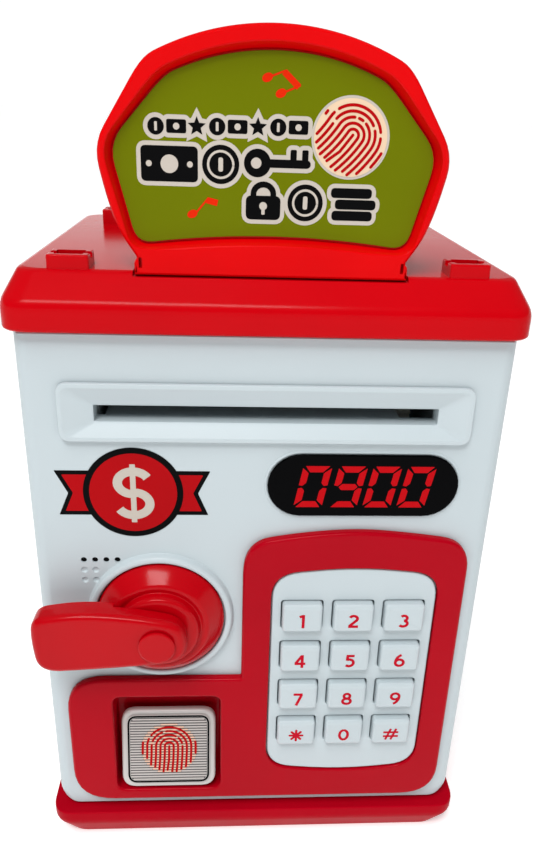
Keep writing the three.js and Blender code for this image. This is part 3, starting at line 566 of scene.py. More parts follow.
SUN_FROM = (-0.18, -0.42, 1.0)
sun = bpy.data.lights.new("sun", "SUN")
sun.energy = 1.4
sun.angle = math.radians(24)
sun_lamp = bpy.data.objects.new("sun", sun)
sun_lamp.visible_glossy = False
sun_lamp.rotation_mode = "QUATERNION"
sun_lamp.rotation_quaternion = Vector(SUN_FROM).to_track_quat("Z", "Y")
bpy.context.scene.collection.objects.link(sun_lamp)
area_light("top_light", (-0.12, -0.52, 0.74), (-0.03, -0.05, 0.12), (0.4, 0.14), 3.0)
area_light("window_light", (-0.42, 1.2, 0.42), (-0.04, 0.0, 0.19), (0.5, 0.42), 0.16, (1.0, 0.97, 0.93))

# ---- Base ----

SCREW_POSTS = [(-58.5, -37.0), (58.5, -37.0), (-58.5, 49.0), (58.5, 49.0)]
POST_RADIUS = 4.3
FLOOR_THICK = 2.6
TRAY_INSIDE = (-61.5, 61.5, -41.0, 53.8)


def cap_rings(profile):
    """Rounded rectangles seen from above, through (inset x, inset y, corner radius, height, rounding)."""
    rings = []
    for inset_x, inset_y, radius, z in softened(profile, closed=False, steps=4):
        rings.append((box_about(0, 0, CAP_HALF[0] - inset_x, CAP_HALF[1] - inset_y, radius, 8), z))
    return rings


def base_tray():
    shell = Shell(at_height)
    bottom, top = shell.stack(cap_rings([
        (4.9, 4.7, 6, 0.0, 0), (4.4, 4.2, 6, 0.4, 0.3), (0, 0, 7, 8.6, 2.0), (0, 0, 7, BASE_HEIGHT - 0.9, 0),
        (0, 0, 7, BASE_HEIGHT, 0.8), (1.0, 1.0, 7, BASE_HEIGHT, 0)]))
    inside = box_outline(*TRAY_INSIDE, 3, steps=6)
    rim, floor_edge = shell.stack([(inset(inside, -0.4), BASE_HEIGHT), (inside, BASE_HEIGHT - 0.4),
                                   (inside, FLOOR_THICK + 0.6), (inset(inside, 0.6), FLOOR_THICK)])
    shell.fill(bottom)
    shell.fill(top, rim)
    shell.fill(floor_edge)
    steps = []
    for x, y in SCREW_POSTS:
        steps += [
            (FUSE, rod_mesh("post", "z", (x, y), 1.3, BASE_HEIGHT - GAP, POST_RADIUS)),
            (CUT, rod_mesh("head_bore", "z", (x, y), -1.0, 4.0, 3.4, 0)),
            (CUT, rod_mesh("screw_bore", "z", (x, y), 1.0, BASE_HEIGHT + 1, PIN_BORE, 0)),
        ]
    steps.append((CUT, rod_mesh("pin_bore", "z", HINGE, 5.0, BASE_HEIGHT + 1, 1.8, 0)))
    return shaped(shell.mesh("base_tray"), *steps)


stand("base_tray", base_tray(), RED_MATT, "housing")

SCREW_PROFILE = [
    (0, 1.4, 0), (2.9, 1.4, 0.5), (2.9, 3.4, 0.3), (1.3, 3.5, 0.1), (1.3, 22, 0.8), (0, 22, 0)]
for index, (x, y) in enumerate(SCREW_POSTS):
    screw = turned_mesh("screw", SCREW_PROFILE, "z", (x, y), count=32)
    drive = block_mesh("slot", x - 2, x + 2, y - 0.4, y + 0.4, 0.9, 2.1, 0.05)
    stand(f"base_screw_{index + 1}", shaped(screw, (CUT, drive)), STEEL, "housing")

# ---- Housing ----

HOUSING_FRONT_Y = DOOR_REAR_Y + GAP
STRIKE_X = -56.5


def rear_housing():
    half = BODY_HALF_WIDTH
    inner = half - WALL
    plan = softened([
        (-half, HOUSING_FRONT_Y, 0.5), (-inner, HOUSING_FRONT_Y, 0.5), (-inner, BACK_Y - WALL, 5),
        (inner, BACK_Y - WALL, 5), (inner, HOUSING_FRONT_Y, 0.5), (half, HOUSING_FRONT_Y, 0.5),
        (half, BACK_Y, 7), (-half, BACK_Y, 7)], steps=8)
    bottom, top = BASE_HEIGHT + GAP, BODY_TOP - GAP
    soft = 0.25
    walls = lofted("rear_housing", [(inset(plan, soft), bottom), (plan, bottom + soft), (plan, top - soft),
                                    (inset(plan, soft), top)], at_height)
    steps = []
    for x, y in SCREW_POSTS:
        steps.append((FUSE, rod_mesh("boss", "z", (x, y), bottom + 0.2, 26.0, POST_RADIUS)))
        steps.append((CUT, rod_mesh("bore", "z", (x, y), bottom - 1, 24.0, PIN_BORE, 0)))
    lug = block_mesh("lug", -half + 1, STRIKE_X, HOUSING_FRONT_Y + 0.1, -40.9, KNOB[1] - 7, KNOB[1] + 7, 0.4)
    return shaped(walls, *steps, (FUSE, lug))


stand("rear_housing", rear_housing(), WHITE, "housing")
strike = block_mesh("strike", -62.2, STRIKE_X, -40.6, -39.8, KNOB[1] - 6.5, KNOB[1] + 6.5, 0.15, 0.8)
stand("strike_plate", strike, STEEL, "housing")
for where, start, stop in (("lower", 5.3, 24.0), ("upper", 164.0, BODY_TOP + 6.7)):
    stand(f"hinge_pin_{where}", rod_mesh("pin", "z", HINGE, start, stop, PIN_RADIUS, 0.4), STEEL, "housing")

# ---- Lid ----

SOCKETS = [(-50.3, -48.0, 3.4), (50.3, -48.0, 3.4), (-48.7, 30.0, 5.0), (48.7, 30.0, 5.0)]
COIN_SLOT = (-16.0, 16.0, 6.1, 10.9)


def lid():
    shell = Shell(at_height)
    outer_rim, crown = shell.stack(cap_rings([
        (0.5, 0.5, 7, BODY_TOP, 0), (0, 0, 7, BODY_TOP + 0.5, 0.4), (0, 0, 7, BODY_TOP + LID_BAND, 2.0),
        (3.7, 6.2, 6, LID_TOP - 0.3, 0.9), (4.8, 7.4, 6, LID_TOP, 0.2), (5.4, 8.0, 6, LID_TOP, 0)]))
    inner_rim, ceiling = shell.stack(cap_rings([
        (5.7, 6.5, 4, BODY_TOP, 0), (5.7, 6.5, 4, BODY_TOP + LID_BAND, 1.0),
        (6.8, 9.4, 4, LID_TOP - WALL, 1.0), (8.4, 11.0, 4, LID_TOP - WALL, 0)]))
    shell.fill(outer_rim, inner_rim)
    shell.fill(crown)
    shell.fill(ceiling)
    notch_back = SIGN_Y[1] + 0.6
    return shaped(
        shell.mesh("lid"),
        (FUSE, block_mesh("lintel", -62, 62, -54, -41, BODY_TOP + 0.1, BODY_TOP + 2.2, 0.2)),
        (FUSE, rod_mesh("pin_boss", "z", (HINGE[0] - 1, HINGE[1]), BODY_TOP + 0.2, BODY_TOP + 9, 4.4)),
        (CUT, rod_mesh("pin_bore", "z", HINGE, BODY_TOP - 1, BODY_TOP + 7, 1.8, 0)),
        (CUT, block_mesh("notch", -NOTCH_HALF, NOTCH_HALF, -70, notch_back, NOTCH_Z, LID_TOP + 5, 0.2)),
        (CUT, slab_mesh("coin_slot", box_outline(*COIN_SLOT, 1.2), LID_TOP - 6, LID_TOP + 1, 0.0,
                        place=at_height, steps=1)))


def socket(x, y, height):
    """One of the four plug-in sockets on the lid, with a pocket and side nicks."""
    top = LID_TOP + height
    body = slab_mesh("socket", box_about(x, y, 5.2, 4.5, 0.7, 3), LID_TOP - 0.5, top, 0.5,
                     place=at_height, steps=3)
    pocket = slab_mesh("pocket", box_about(x, y, 3.6, 2.9, 0.5, 3), LID_TOP + 0.2, top + 1, 0.0,
                       place=at_height, steps=1)
    nick = block_mesh("nick", x - 6, x + 6, y - 1.4, y + 1.4, top - 1.2, top + 1, 0.1)
    return shaped(body, (CUT, pocket), (CUT, nick))


# The lid takes the brighter copy of the red plastic: painted light.
stand("lid", shaped(lid(), *[(FUSE, socket(*place)) for place in SOCKETS]), RED_LID_PAINTED_LIGHT, "housing")

# ---- Sign ----


def arch(radius, top, half_chord, corner):
    """Corners on the round top edge, from its right end to the middle."""
    points = []
    for i in range(ARCH_STEPS + 1):
        x = half_chord * (1 - i / ARCH_STEPS)
        points.append((x, top - radius + math.sqrt(radius * radius - x * x), corner if i == 0 else 2.5))
    return points


SIGN_OUTLINE = softened(mirrored([
    (34.0, NOTCH_Z + GAP, 0.3), (34.0, 191.8, 0.8), (33.2, 192.6, 0.6), (37.2, 198.6, 7), (39.8, 206.0, 6),
    (42.4, 218.2, 5), *arch(ARCH_RADIUS, SIGN_TOP, 30.6, 5)]), steps=5)


def foot_height(x, lift=0.0):
    """Height of the low arch that the label stands on."""
    t = (x + 36) / 72
    return (194.8 + lift) * ((1 - t) ** 2 + t * t) + (200.6 + lift) * 2 * t * (1 - t)


def panel_outline(grow, lift=0.0):
    """The opening of the sign frame, made larger by grow, its lower edge raised by lift."""
    half = 33.5 + grow * 0.7
    bottom = [(x, foot_height(x, lift) - grow, 3.0) for x in (8.5, 17.0, 25.0)]
    side = [(half, foot_height(half, lift) + 0.2 - grow * 0.4, 4.0), (39.4 + grow, 218.4, 5)]
    right = bottom + side + arch(ARCH_RADIUS - 5, SIGN_TOP - 5 + grow, 26.2 + grow, 5)
    return softened(mirrored(right) + [(0.0, foot_height(0, lift) - grow, 3.0)], steps=5)


def sign_frame():
    front_y, rear_y = SIGN_Y
    shell = Shell()
    back, face = shell.stack([(inset(SIGN_OUTLINE, d), y) for d, y in (
        (0.5, rear_y), (0.15, rear_y - 0.2), (0.0, rear_y - 0.6), (0.0, front_y + 1.3),
        (0.1, front_y + 0.7), (0.35, front_y + 0.25), (0.75, front_y))])
    rim, floor_edge = shell.stack([(panel_outline(grow), y) for grow, y in (
        (1.6, front_y), (1.3, front_y + 0.2), (0.2, SIGN_FLOOR_Y - 0.4), (0.0, SIGN_FLOOR_Y))])
    back_rim, back_floor = shell.stack([(panel_outline(grow), y) for grow, y in (
        (0.4, rear_y), (0.0, rear_y - 0.4), (0.0, rear_y - 2.5))])
    shell.fill(face, rim)
    shell.fill(floor_edge)
    shell.fill(back, back_rim)
    shell.fill(back_floor)
    slits = [(CUT, block_mesh("slit", x - 0.4, x + 0.4, front_y - 1, front_y + 2, 190.2, 192.8, 0.1))
             for x in (-32.4, 32.4)]
    return shaped(shell.mesh("sign_frame"), *slits)


# The sign frame takes the brighter copy of the red plastic: painted light.
stand("sign_frame", sign_frame(), RED_SIGN_PAINTED_LIGHT, "housing")
LABEL_FACE_Y = SIGN_FLOOR_Y - 0.8
label = slab_mesh("label", panel_outline(-0.35, 0.2), SIGN_FLOOR_Y - GAP, LABEL_FACE_Y, 0.12, steps=2)
stand("sign_label", label, GREEN, "housing")

# Print on the label: two music notes, a fingerprint and, where a toy has its name, rows of money pictures.
PRINT_STEP = 0.04


def note(heads, tops, beam):
    """A music note: a round head at the foot of each stem and a beam or flag."""
    outlines = [turned_by(arc(0, 0, 1.3, 0.95, 0, 350, 23), 25, head) for head in heads]
    outlines += [stroke([(head[0] + 0.9, head[1] + 0.3), top], 0.45) for head, top in zip(heads, tops)]
    return outlines + [stroke(beam, 1.5, taper=True)]


def show_print(name, outlines, material, layer):
    face = LABEL_FACE_Y - layer * PRINT_STEP
    return print_on(name, outlines, material, "housing", face, "green_label", PRINT_STEP)


pair = note([(-2.3, 233.7), (0.9, 230.5)], [(1.7, 235.2), (5.2, 232.2)], [(1.5, 235.0), (5.0, 231.9)])
single = note([(-19.7, 203.1)], [(-16.0, 206.7)], [(-16.2, 206.4), (-13.6, 205.8)])
show_print("label_notes", pair + single, INK_ORANGE, 0)


def banknote(x, z, wide, tall):
    dots = [circle(x + side * wide * 0.36, z, 0.7, 16) for side in (-1, 1)]
    return [box_about(x, z, wide / 2, tall / 2, 1.2)], [circle(x, z, tall * 0.26, 28), *dots]


def coin(x, z, radius):
    ring = stroke(arc(x, z, radius * 0.68, radius * 0.68, 0, 352, 30), 0.55)
    return [circle(x, z, radius, 40)], [ring, box_about(x, z, 0.55, radius * 0.36, 0.5)]


def coin_stack(x, z, shifts, wide, thick):
    return [box_about(x + shift, z + i * (thick + 0.35) + thick / 2, wide / 2, thick / 2, 1.0)
            for i, shift in enumerate(shifts)], []


def key_shape(x, z):
    bow = circle(x, z, 3.2, 32)
    blade = stroke([(x + 2.6, z), (x + 11.8, z)], 1.9)
    teeth = [box_outline(x + at, x + at + 1.5, z, z + 3.2, 0.4) for at in (7.8, 10.6)]
    return [bow, blade, *teeth], [circle(x - 0.3, z, 1.25, 20)]


def padlock(x, z):
    body = box_about(x, z - 1.2, 4.2, 2.8, 1.4)
    shackle = stroke([(x - 2.4, z + 1.2), *arc(x, z + 2.0, 2.4, 2.2, 180, 0, 12), (x + 2.4, z + 1.2)], 1.4)
    return [body, shackle], [circle(x, z - 0.8, 0.95, 18), box_about(x, z - 1.8, 0.4, 1.0, 0.2)]


def star_shape(x, z, radius):
    return [Vector((x + reach * math.sin(math.pi * i / 5), z + reach * math.cos(math.pi * i / 5)))
            for i, reach in enumerate([radius, radius * 0.45] * 5)]


def small_picture(x, z, kind):
    """One of the small pictures in the top row: a coin, a banknote or a star."""
    if kind == "star":
        return [star_shape(x, z, 2.2)], []
    if kind == "note":
        return [box_about(x, z, 2.3, 1.5, 0.5)], [circle(x, z, 0.75, 18)]
    return [circle(x, z, 1.9, 28)], [box_about(x, z, 0.32, 1.0, 0.2)]


pictures = [
    banknote(-25.0, 214.4, 13.4, 8.0), coin(-12.9, 214.6, 4.4), key_shape(-4.2, 215.2),
    padlock(-2.6, 206.2), coin(7.6, 206.4, 4.3), coin_stack(19.2, 202.5, (0.0, 0.7, -0.4), 10.0, 2.3),
]
small = [small_picture(-28.0 + 4.75 * i, 222.6 + 0.1 * i, ("coin", "note", "star")[i % 3]) for i in range(8)]
solid = [outline for body, _ in pictures + small for outline in body]
marks = [outline for _, mark in pictures + small for outline in mark]
show_print("label_halo", [inset(outline, -1.0) for outline in solid], INK_GREY, 0)
show_print("label_pictures", solid, INK_BLACK, 1)
show_print("label_picture_marks", marks, INK_GREY, 2)


def fingerprint(centre, radius, angle, width, seed, bend=0.0):
    """Ridges of a made-up loop fingerprint, as pen strokes cut off by a circle."""
    pick = random.Random(seed)
    pitch = radius / 6.4
    outlines = []
    top = radius * 0.1

    def inside(point):
        return point.length < radius - width * 0.5

    for ring in range(6):
        reach = (ring + 1) * pitch
        left, right = ([Vector((side * reach - bend * t * t, top - t * radius * 1.1))
                        for t in ((i + 1) / 12 for i in range(12))] for side in (-1, 1))
        path = left[::-1] + arc(0, top, reach, reach * 0.96, 180, 0, 18 + ring * 3) + right
        cuts = pick.sample(range(6, len(path) - 6), 2 if ring > 1 else 0)
        runs, run = [], []
        for i, point in enumerate(path):
            if inside(point) and i not in cuts:
                run.append(point)
            elif run:
                runs.append(run)
                run = []
        runs.append(run)
        for points in runs:
            if len(points) > 1:
                outlines.append(turned_by(stroke(points, width), angle, centre))
    core = stroke([(0, top), (-bend * 0.2, -radius * 0.45), (-bend, -radius * 0.85)], width)
    return outlines + [turned_by(core, angle, centre)]


FINGER = (17.7, 221.4)
show_print("label_finger_halo", [circle(*FINGER, 9.3, 56)], INK_GREY, 0)
show_print("label_finger_disc", [circle(*FINGER, 8.7, 56)], INK_CREAM, 2)
show_print("label_finger_ridges", fingerprint(FINGER, 8.6, -34, 0.7, 4, 1.6), INK_RED, 3)

# ---- Door panel ----

SPEAKER_HOLES = (-51.1, 108.1, 3.15, 3.35, 0.85)
DOOR_OUTLINE = softened([
    (-BODY_HALF_WIDTH, DOOR_Z[0], 7), (BODY_HALF_WIDTH, DOOR_Z[0], 7), (BODY_HALF_WIDTH, DOOR_Z[1], 1.5),
    (-BODY_HALF_WIDTH, DOOR_Z[1], 1.5)], steps=8)
EDGE_ROUND = 4.0


def door_ring(distance, y):
    """The door's outline at a depth, its right edge following the round of the hinge."""
    points = inset(DOOR_OUTLINE, distance, (1.0, 0.22))
    behind = max(0.0, y - HINGE[1])
    limit = HINGE[0] + math.sqrt(max(0.0, BARREL_RADIUS ** 2 - behind ** 2))
    return [Vector((min(p.x, limit), p.y)) for p in points], y


def rod_y(name, x, z, start, stop, radius, count=32):
    return rod_mesh(name, "y", (x, z), start, stop, radius, 0, count)


def door_panel():
    levels = [DOOR_REAR_Y - BARREL_RADIUS * (1 - math.sin(math.pi / 2 * i / 6)) for i in range(6, -1, -1)]
    rings = [door_ring(0.0, y) for y in levels]
    rings += [door_ring(d, y) for d, y in rounded_edge(HINGE[1], FRONT, EDGE_ROUND, 8)[1:]]
    inner, outer = RING_RADII
    ring = turned_mesh("ring", [(radius, FRONT - out, soft) for radius, out, soft in (
        (inner, -1, 0), (outer + 0.6, -1, 0), (outer + 0.6, 0, 0), (outer + 0.3, 0, 0.4),
        (outer - 0.3, 2.1, 1.4), (inner, 2.1, 0.7))], "y", KNOB, closed=True, count=96)
    lip = inset(stadium(*LENS), -0.15)
    lens_lip = lofted("lip", [(inset(lip, d), FRONT + depth) for d, depth in (
        (-0.75, 0.5), (-0.75, 0), (-0.6, -0.2), (-0.3, -0.3), (0, -0.2), (0, 0.5))], looped=True)
    x, z, pitch_x, pitch_z, radius = SPEAKER_HOLES
    dimple = [(0, FRONT + 0.5, 0), (radius * 0.75, FRONT + 0.5, 0.3), (radius + 0.15, FRONT, 0),
              (radius + 0.15, FRONT - 1, 0), (0, FRONT - 1, 0)]
    tools = [
        slab_mesh("hollow", box_outline(-62.6, 56.6, 16, 172, 4), DOOR_REAR_Y + 1, DOOR_PLATE_REAR_Y, 0.5),
        rod_y("spindle", *KNOB, FRONT - 3, DOOR_PLATE_REAR_Y + 1, 4.4),
        block_mesh("slot", -50, 50, FRONT - 2, -50, 147.3, 158.7, 0.1, 1.0),
        slab_mesh("window", stadium(3, 50.8, 125.7, 139), -50, FRONT - 2, 0.0, steps=1),
        block_mesh("keys", 4.2, 49.6, FRONT - 2, -50, 35, 100, 0.1, 1.0),
        block_mesh("pocket", -47.4, -10.2, FRONT - 2, -50, 20, 62.2, 0.1, 1.0),
        rod_mesh("pin", "z", HINGE, 0, 26, PIN_BORE, 0), rod_mesh("pin", "z", HINGE, 162, 200, PIN_BORE, 0),
    ]
    tools += [rod_y("hole", x + i * pitch_x, z, FRONT - 1, FRONT + 4, radius, 24) for i in range(4)]
    tools += [turned_mesh("dimple", dimple, "y", (x + i * pitch_x, z - j * pitch_z), count=24)
              for j in (1, 2) for i in (0, 1)]
    cuts = [(CUT, tool) for tool in tools]
    return shaped(lofted("door_panel", rings), (FUSE, ring), (FUSE, lens_lip), *cuts)


stand("door_panel", door_panel(), WHITE, "door")
hole_x, hole_z, hole_pitch, _, hole_radius = SPEAKER_HOLES
cloth = [rod_y("cloth", hole_x + i * hole_pitch, hole_z, FRONT + 0.4, FRONT + 2.3, hole_radius - 0.02, 24)
         for i in range(4)]
add("speaker_cloth", joined("speaker_cloth", cloth), INK_BLACK, "door", "rubber")

# ---- Banknote slot, display ----

RIM = 1.2
FUNNEL_END = -55.5
NECK = (49.6, 5.3)
NECK_REAR_Y = -50.0


def slot_bezel():
    """The frame of the slot: a rim, a funnel down to the slot, and a neck behind through the door."""
    half_x, z0, z1 = BEZEL
    half_z = (z1 - z0) / 2
    slot_x, slot_z = SLOT_HALF
    back, face = FRONT - GAP, FRONT - 1.6
    profile = [
        (half_x, half_z, 3.0, back, 0), (half_x, half_z, 3.0, face, 0.5),
        (half_x - RIM, half_z - RIM, 2.0, face, 0.3), (slot_x + 0.5, slot_z + 0.4, 0.6, FUNNEL_END, 0.15),
        (slot_x, slot_z, 0.4, FUNNEL_END + 0.2, 0.15), (slot_x, slot_z, 0.4, NECK_REAR_Y, 0),
        (*NECK, 0.4, NECK_REAR_Y, 0), (*NECK, 0.4, back, 0)]
    rings = []
    for wide, tall, radius, y in softened(profile, closed=False, steps=4):
        middle = SLOT_Z if tall < half_z - 2.5 else (z0 + z1) / 2
        rings.append((box_about(0, middle, wide, tall, radius, 6), y))
    return lofted("slot_bezel", rings, looped=True)


stand("slot_bezel", slot_bezel(), WHITE, "door")

LENS_FACE_Y = FRONT - 1.0
lens_body = slab_mesh("lens", stadium(*LENS), FRONT - GAP, LENS_FACE_Y, 0.35, steps=3)
lens_boss = slab_mesh("boss", stadium(3.4, 50.4, 126.1, 138.6), -53.2, FRONT - 0.6, 0.0, steps=1)
stand("display_lens", shaped(lens_body, (FUSE, lens_boss)), LENS_BLACK, "door")

DIGIT = dict(left=(7.6, 17.4, 26.9, 36.5), bottom=125.9, wide=7.9, tall=12.6, thick=1.85, slant=0.19, gap=0.3)


def digit_segments(segments, left):
    """Seven-segment digit: mitred bars, leaning to the right."""
    wide, tall, t, g = DIGIT["wide"], DIGIT["tall"], DIGIT["thick"], DIGIT["gap"]
    half = tall / 2
    bars = {
        "a": [(g * 2, tall), (wide - g * 2, tall), (wide - t - g, tall - t), (t + g, tall - t)],
        "d": [(g * 2, 0), (wide - g * 2, 0), (wide - t - g, t), (t + g, t)],
        "g": [(t * 0.55 + g, half), (t + g, half + t / 2), (wide - t - g, half + t / 2),
              (wide - t * 0.55 - g, half), (wide - t - g, half - t / 2), (t + g, half - t / 2)],
        "f": [(0, tall - g * 2), (t, tall - t - g), (t, half + t / 2 + g), (t * 0.55, half + g),
              (0, half + g * 1.6)],
        "e": [(0, g * 2), (t, t + g), (t, half - t / 2 - g), (t * 0.55, half - g), (0, half - g * 1.6)],
    }
    bars["b"] = [(wide - x, z) for x, z in bars["f"]]
    bars["c"] = [(wide - x, z) for x, z in bars["e"]]
    slant, bottom = DIGIT["slant"], DIGIT["bottom"]
    return [softened([(left + x + z * slant, bottom + z, 0.15) for x, z in bars[name]], steps=2)
            for name in segments]


ZERO, NINE = "abcdef", "abcdfg"
shown = [bar for left, segments in zip(DIGIT["left"], (ZERO, NINE, ZERO, ZERO))
         for bar in digit_segments(segments, left)]
print_on("display_digits", shown, SEGMENT, "door", LENS_FACE_Y, "black_lens", 0.06)

# ---- Badge ----

BADGE = (-36.3, 129.5)
BADGE_RADII = (13.6, 11.9)
RIBBON = [(-21.0, 6.7), (-17.6, -0.1), (-20.4, -6.8), (-6.0, -6.8), (-6.0, 6.7)]


def ribbon(distance, side):
    """One ribbon end of the badge, moved inwards by a distance."""
    corners = inset([Vector((x * side, z)) for x, z in RIBBON], distance)
    return softened([(p.x, p.y, 0.3) for p in corners], steps=3)


def badge_print(name, outlines, material, layer):
    place = [[Vector((p[0] + BADGE[0], p[1] + BADGE[1])) for p in outline] for outline in outlines]
    return print_on(name, place, material, "door", FRONT - layer * PRINT_STEP, "white_plastic", PRINT_STEP)


badge_print("badge_ribbon_edge", [ribbon(0.0, side) for side in (1, -1)], INK_BLACK, 0)
badge_print("badge_ribbon", [ribbon(1.2, side) for side in (1, -1)], INK_RED, 1)
badge_print("badge_edge", [circle(0, 0, BADGE_RADII[0], 72)], INK_BLACK, 2)
badge_print("badge_disc", [circle(0, 0, BADGE_RADII[1], 72)], INK_RED, 3)
upper = arc(0.1, 3.1, 4.3, 3.45, 28, 265, 22)
lower = arc(0.0, -3.3, 4.4, 3.55, 85, -152, 22)
money_sign = [stroke(upper[:-1] + lower[1:], 2.5, taper=True), box_outline(-0.75, 0.75, -9.1, 8.7, 0.2)]
badge_print("badge_sign", money_sign, INK_GREY, 4)

# ---- Fascia and keypad ----

FASCIA_OUTLINE = softened([
    (-59.1, 17.6, 13), (59.5, 17.6, 12), (59.3, 114.9, 9), (42.0, 117.4, 16), (26.7, 118.8, 16),
    (10.0, 117.4, 16), (-6.0, 114.4, 10), (-6.0, 67.0, 0.6), (-59.1, 66.9, 12)], steps=8)


def keypad_outline(grow):
    x0, x1, z0, z1 = KEYPAD
    middle = (x0 + x1) / 2
    low, high = z0 - grow, z1 + grow
    return softened([
        (x0 - grow, low, 8), (middle, low - KEYPAD_BULGE, 30), (x1 + grow, low, 8),
        (x1 + grow, high, 8), (middle, high + KEYPAD_BULGE, 30), (x0 - grow, high, 8)], steps=8)


def fascia():
    back, floor_y, cup_back = FRONT - GAP, -49.2, -47.7
    x0, x1, z0, z1 = POCKET
    pocket = box_outline(x0, x1, z0, z1, 3, steps=6)
    cup = box_outline(x0 - 1.6, x1 + 1.6, z0 - 1.5, z1 + 1.6, 2.5, steps=6)
    stem = box_outline(-33.2, -24.4, 30.2, 40.6, 0.6, steps=3)
    hole = keypad_outline(GAP)
    pocket_wall = [(0.8, floor_y), (0.2, floor_y - 0.3)]
    pocket_wall += [(-d, y) for d, y in rounded_edge(floor_y - 0.9, FASCIA_Y, 0.8, 4)]
    shell = Shell()
    rear, face = shell.stack([(inset(FASCIA_OUTLINE, d), y) for d, y in rounded_edge(back, FASCIA_Y, 1.1, 5)])
    hole_wall = rounded_edge(back, FASCIA_Y, 0.5, 3)
    hole_rear, hole_face = shell.stack([(inset(hole, -d), y) for d, y in hole_wall])
    floor_edge, pocket_face = shell.stack([(inset(pocket, d), y) for d, y in pocket_wall])
    cup_front, cup_rear = shell.stack([(cup, back), (cup, cup_back - 0.4), (inset(cup, 0.4), cup_back)])
    stem_front, stem_rear = shell.stack([(stem, floor_y), (stem, cup_back)])
    shell.fill(face, hole_face, pocket_face)
    shell.fill(rear, hole_rear, cup_front)
    shell.fill(floor_edge, stem_front)
    shell.fill(cup_rear, stem_rear)
    return shell.mesh("fascia")


stand("fascia", fascia(), RED, "door")

KEYS = []
for index, label in enumerate(("1", "2", "3", "4", "5", "6", "7", "8", "9", "star", "0", "hash")):
    row, column = divmod(index, 3)
    KEYS.append((label, KEY_FIRST[0] + column * KEY_PITCH[0], KEY_FIRST[1] - row * KEY_PITCH[1]))


KEY_CLEARANCE = 0.34


def keypad_plate():
    half_x, half_z = (size / 2 + KEY_CLEARANCE for size in KEY_SIZE)

    def holes(edge_radius):
        return [(box_about(x, z, half_x, half_z, 1.0, 3), edge_radius) for _, x, z in KEYS]

    plate = slab_mesh("keypad_plate", keypad_outline(0.0), FRONT - GAP, FRONT - 2.1, 0.6, holes(0.25))
    skirt_outline = box_outline(4.6, 49.2, 35.4, 99.6, 1.0)
    skirt = slab_mesh("skirt", skirt_outline, -53.2, FRONT - GAP + 0.01, 0.0, holes(0.0), steps=1)
    return joined("keypad_plate", [plate, skirt])


stand("keypad_plate", keypad_plate(), WHITE, "door")


def key_cap(x, z):
    """A key whose top edge is rounded more than the others."""
    half_x, half_z = KEY_SIZE[0] / 2, KEY_SIZE[1] / 2
    outline = box_about(x, z, half_x, half_z, 1.3)
    rings = []
    for d, y in rounded_edge(KEY_REAR_Y, KEY_FRONT_Y, 1.0, 6):
        drop = 0.9 * d / half_z
        rings.append(([Vector((p.x, p.y - drop * max(0.0, p.y - z))) for p in inset(outline, d)], y))
    return lofted("key", rings)


FIGURES = {
    "0": [arc(0, 0, 1.3, 1.9, 90, 449, 32)],
    "1": [[(0.25, -2.35), (0.25, 2.3)], [(-0.85, 1.55), (0.3, 2.05)]],
    "2": [arc(-0.05, 0.9, 1.15, 1.0, 155, -35, 14) + [Vector((-1.15, -1.7))], [(-1.45, -1.9), (1.45, -1.9)]],
    "3": [arc(-0.2, 1.0, 1.0, 0.9, 140, -85, 12), arc(-0.25, -0.9, 1.25, 1.0, 80, -145, 14)],
    "4": [[(0.5, 2.1), (-1.35, -0.7)], [(-1.65, -0.85), (1.6, -0.85)], [(0.6, 2.35), (0.6, -2.35)]],
    "5": [[(-0.95, 1.9), (1.25, 1.9)], [(-0.75, 2.3), (-0.9, 0.2)],
          arc(-0.25, -0.65, 1.3, 1.25, 122, -135, 16)],
    "6": [arc(0, -0.75, 1.25, 1.15, 0, 359, 28), arc(1.1, -0.75, 2.35, 2.95, 180, 106, 10)],
    "7": [[(-1.45, 1.9), (1.35, 1.9)], [(1.05, 1.8), (-0.55, -2.35)]],
    "8": [arc(0, 1.05, 0.95, 0.9, 0, 359, 24), arc(0, -0.95, 1.25, 1.0, 0, 359, 28)],
}
FIGURES["9"] = [[Vector((-p[0], -p[1])) for p in path] for path in FIGURES["6"]]
FIGURE_WIDTH = 0.86


def figure_mark(label, x, z):
    """A bold figure drawn with flat-ended pen strokes."""
    return [stroke([(x + p[0], z + p[1]) for p in path], FIGURE_WIDTH, taper=True)
            for path in FIGURES[label]]


def star_mark(x, z):
    spokes = [(2.0 * math.cos(a), 2.0 * math.sin(a)) for a in (math.pi * k / 4 for k in range(4))]
    return [stroke([(x - dx, z - dz), (x + dx, z + dz)], 0.75) for dx, dz in spokes]


def hash_mark(x, z):
    lean = [[(x + at - 0.75, z - 2.2), (x + at + 0.75, z + 2.2)] for at in (-0.85, 0.85)]
    bars = [[(x - 2.4, z + at), (x + 2.4, z + at)] for at in (-0.8, 0.8)]
    return [stroke(path, 0.7, taper=True) for path in lean + bars]


MARK_DROP = 0.7
MARKS = {"star": star_mark, "hash": hash_mark}
for label, x, z in KEYS:
    node = f"key_{label}"
    add(f"{node}_cap", key_cap(x, z), WHITE, node, "white_plastic", (node,))
    centre = (x, z - MARK_DROP)
    mark = MARKS[label](*centre) if label in MARKS else figure_mark(label, *centre)
    print_on(f"{node}_mark", mark, INK_KEY, node, KEY_FRONT_Y, "white_plastic", 0.04)

# ---- Fingerprint pad ----

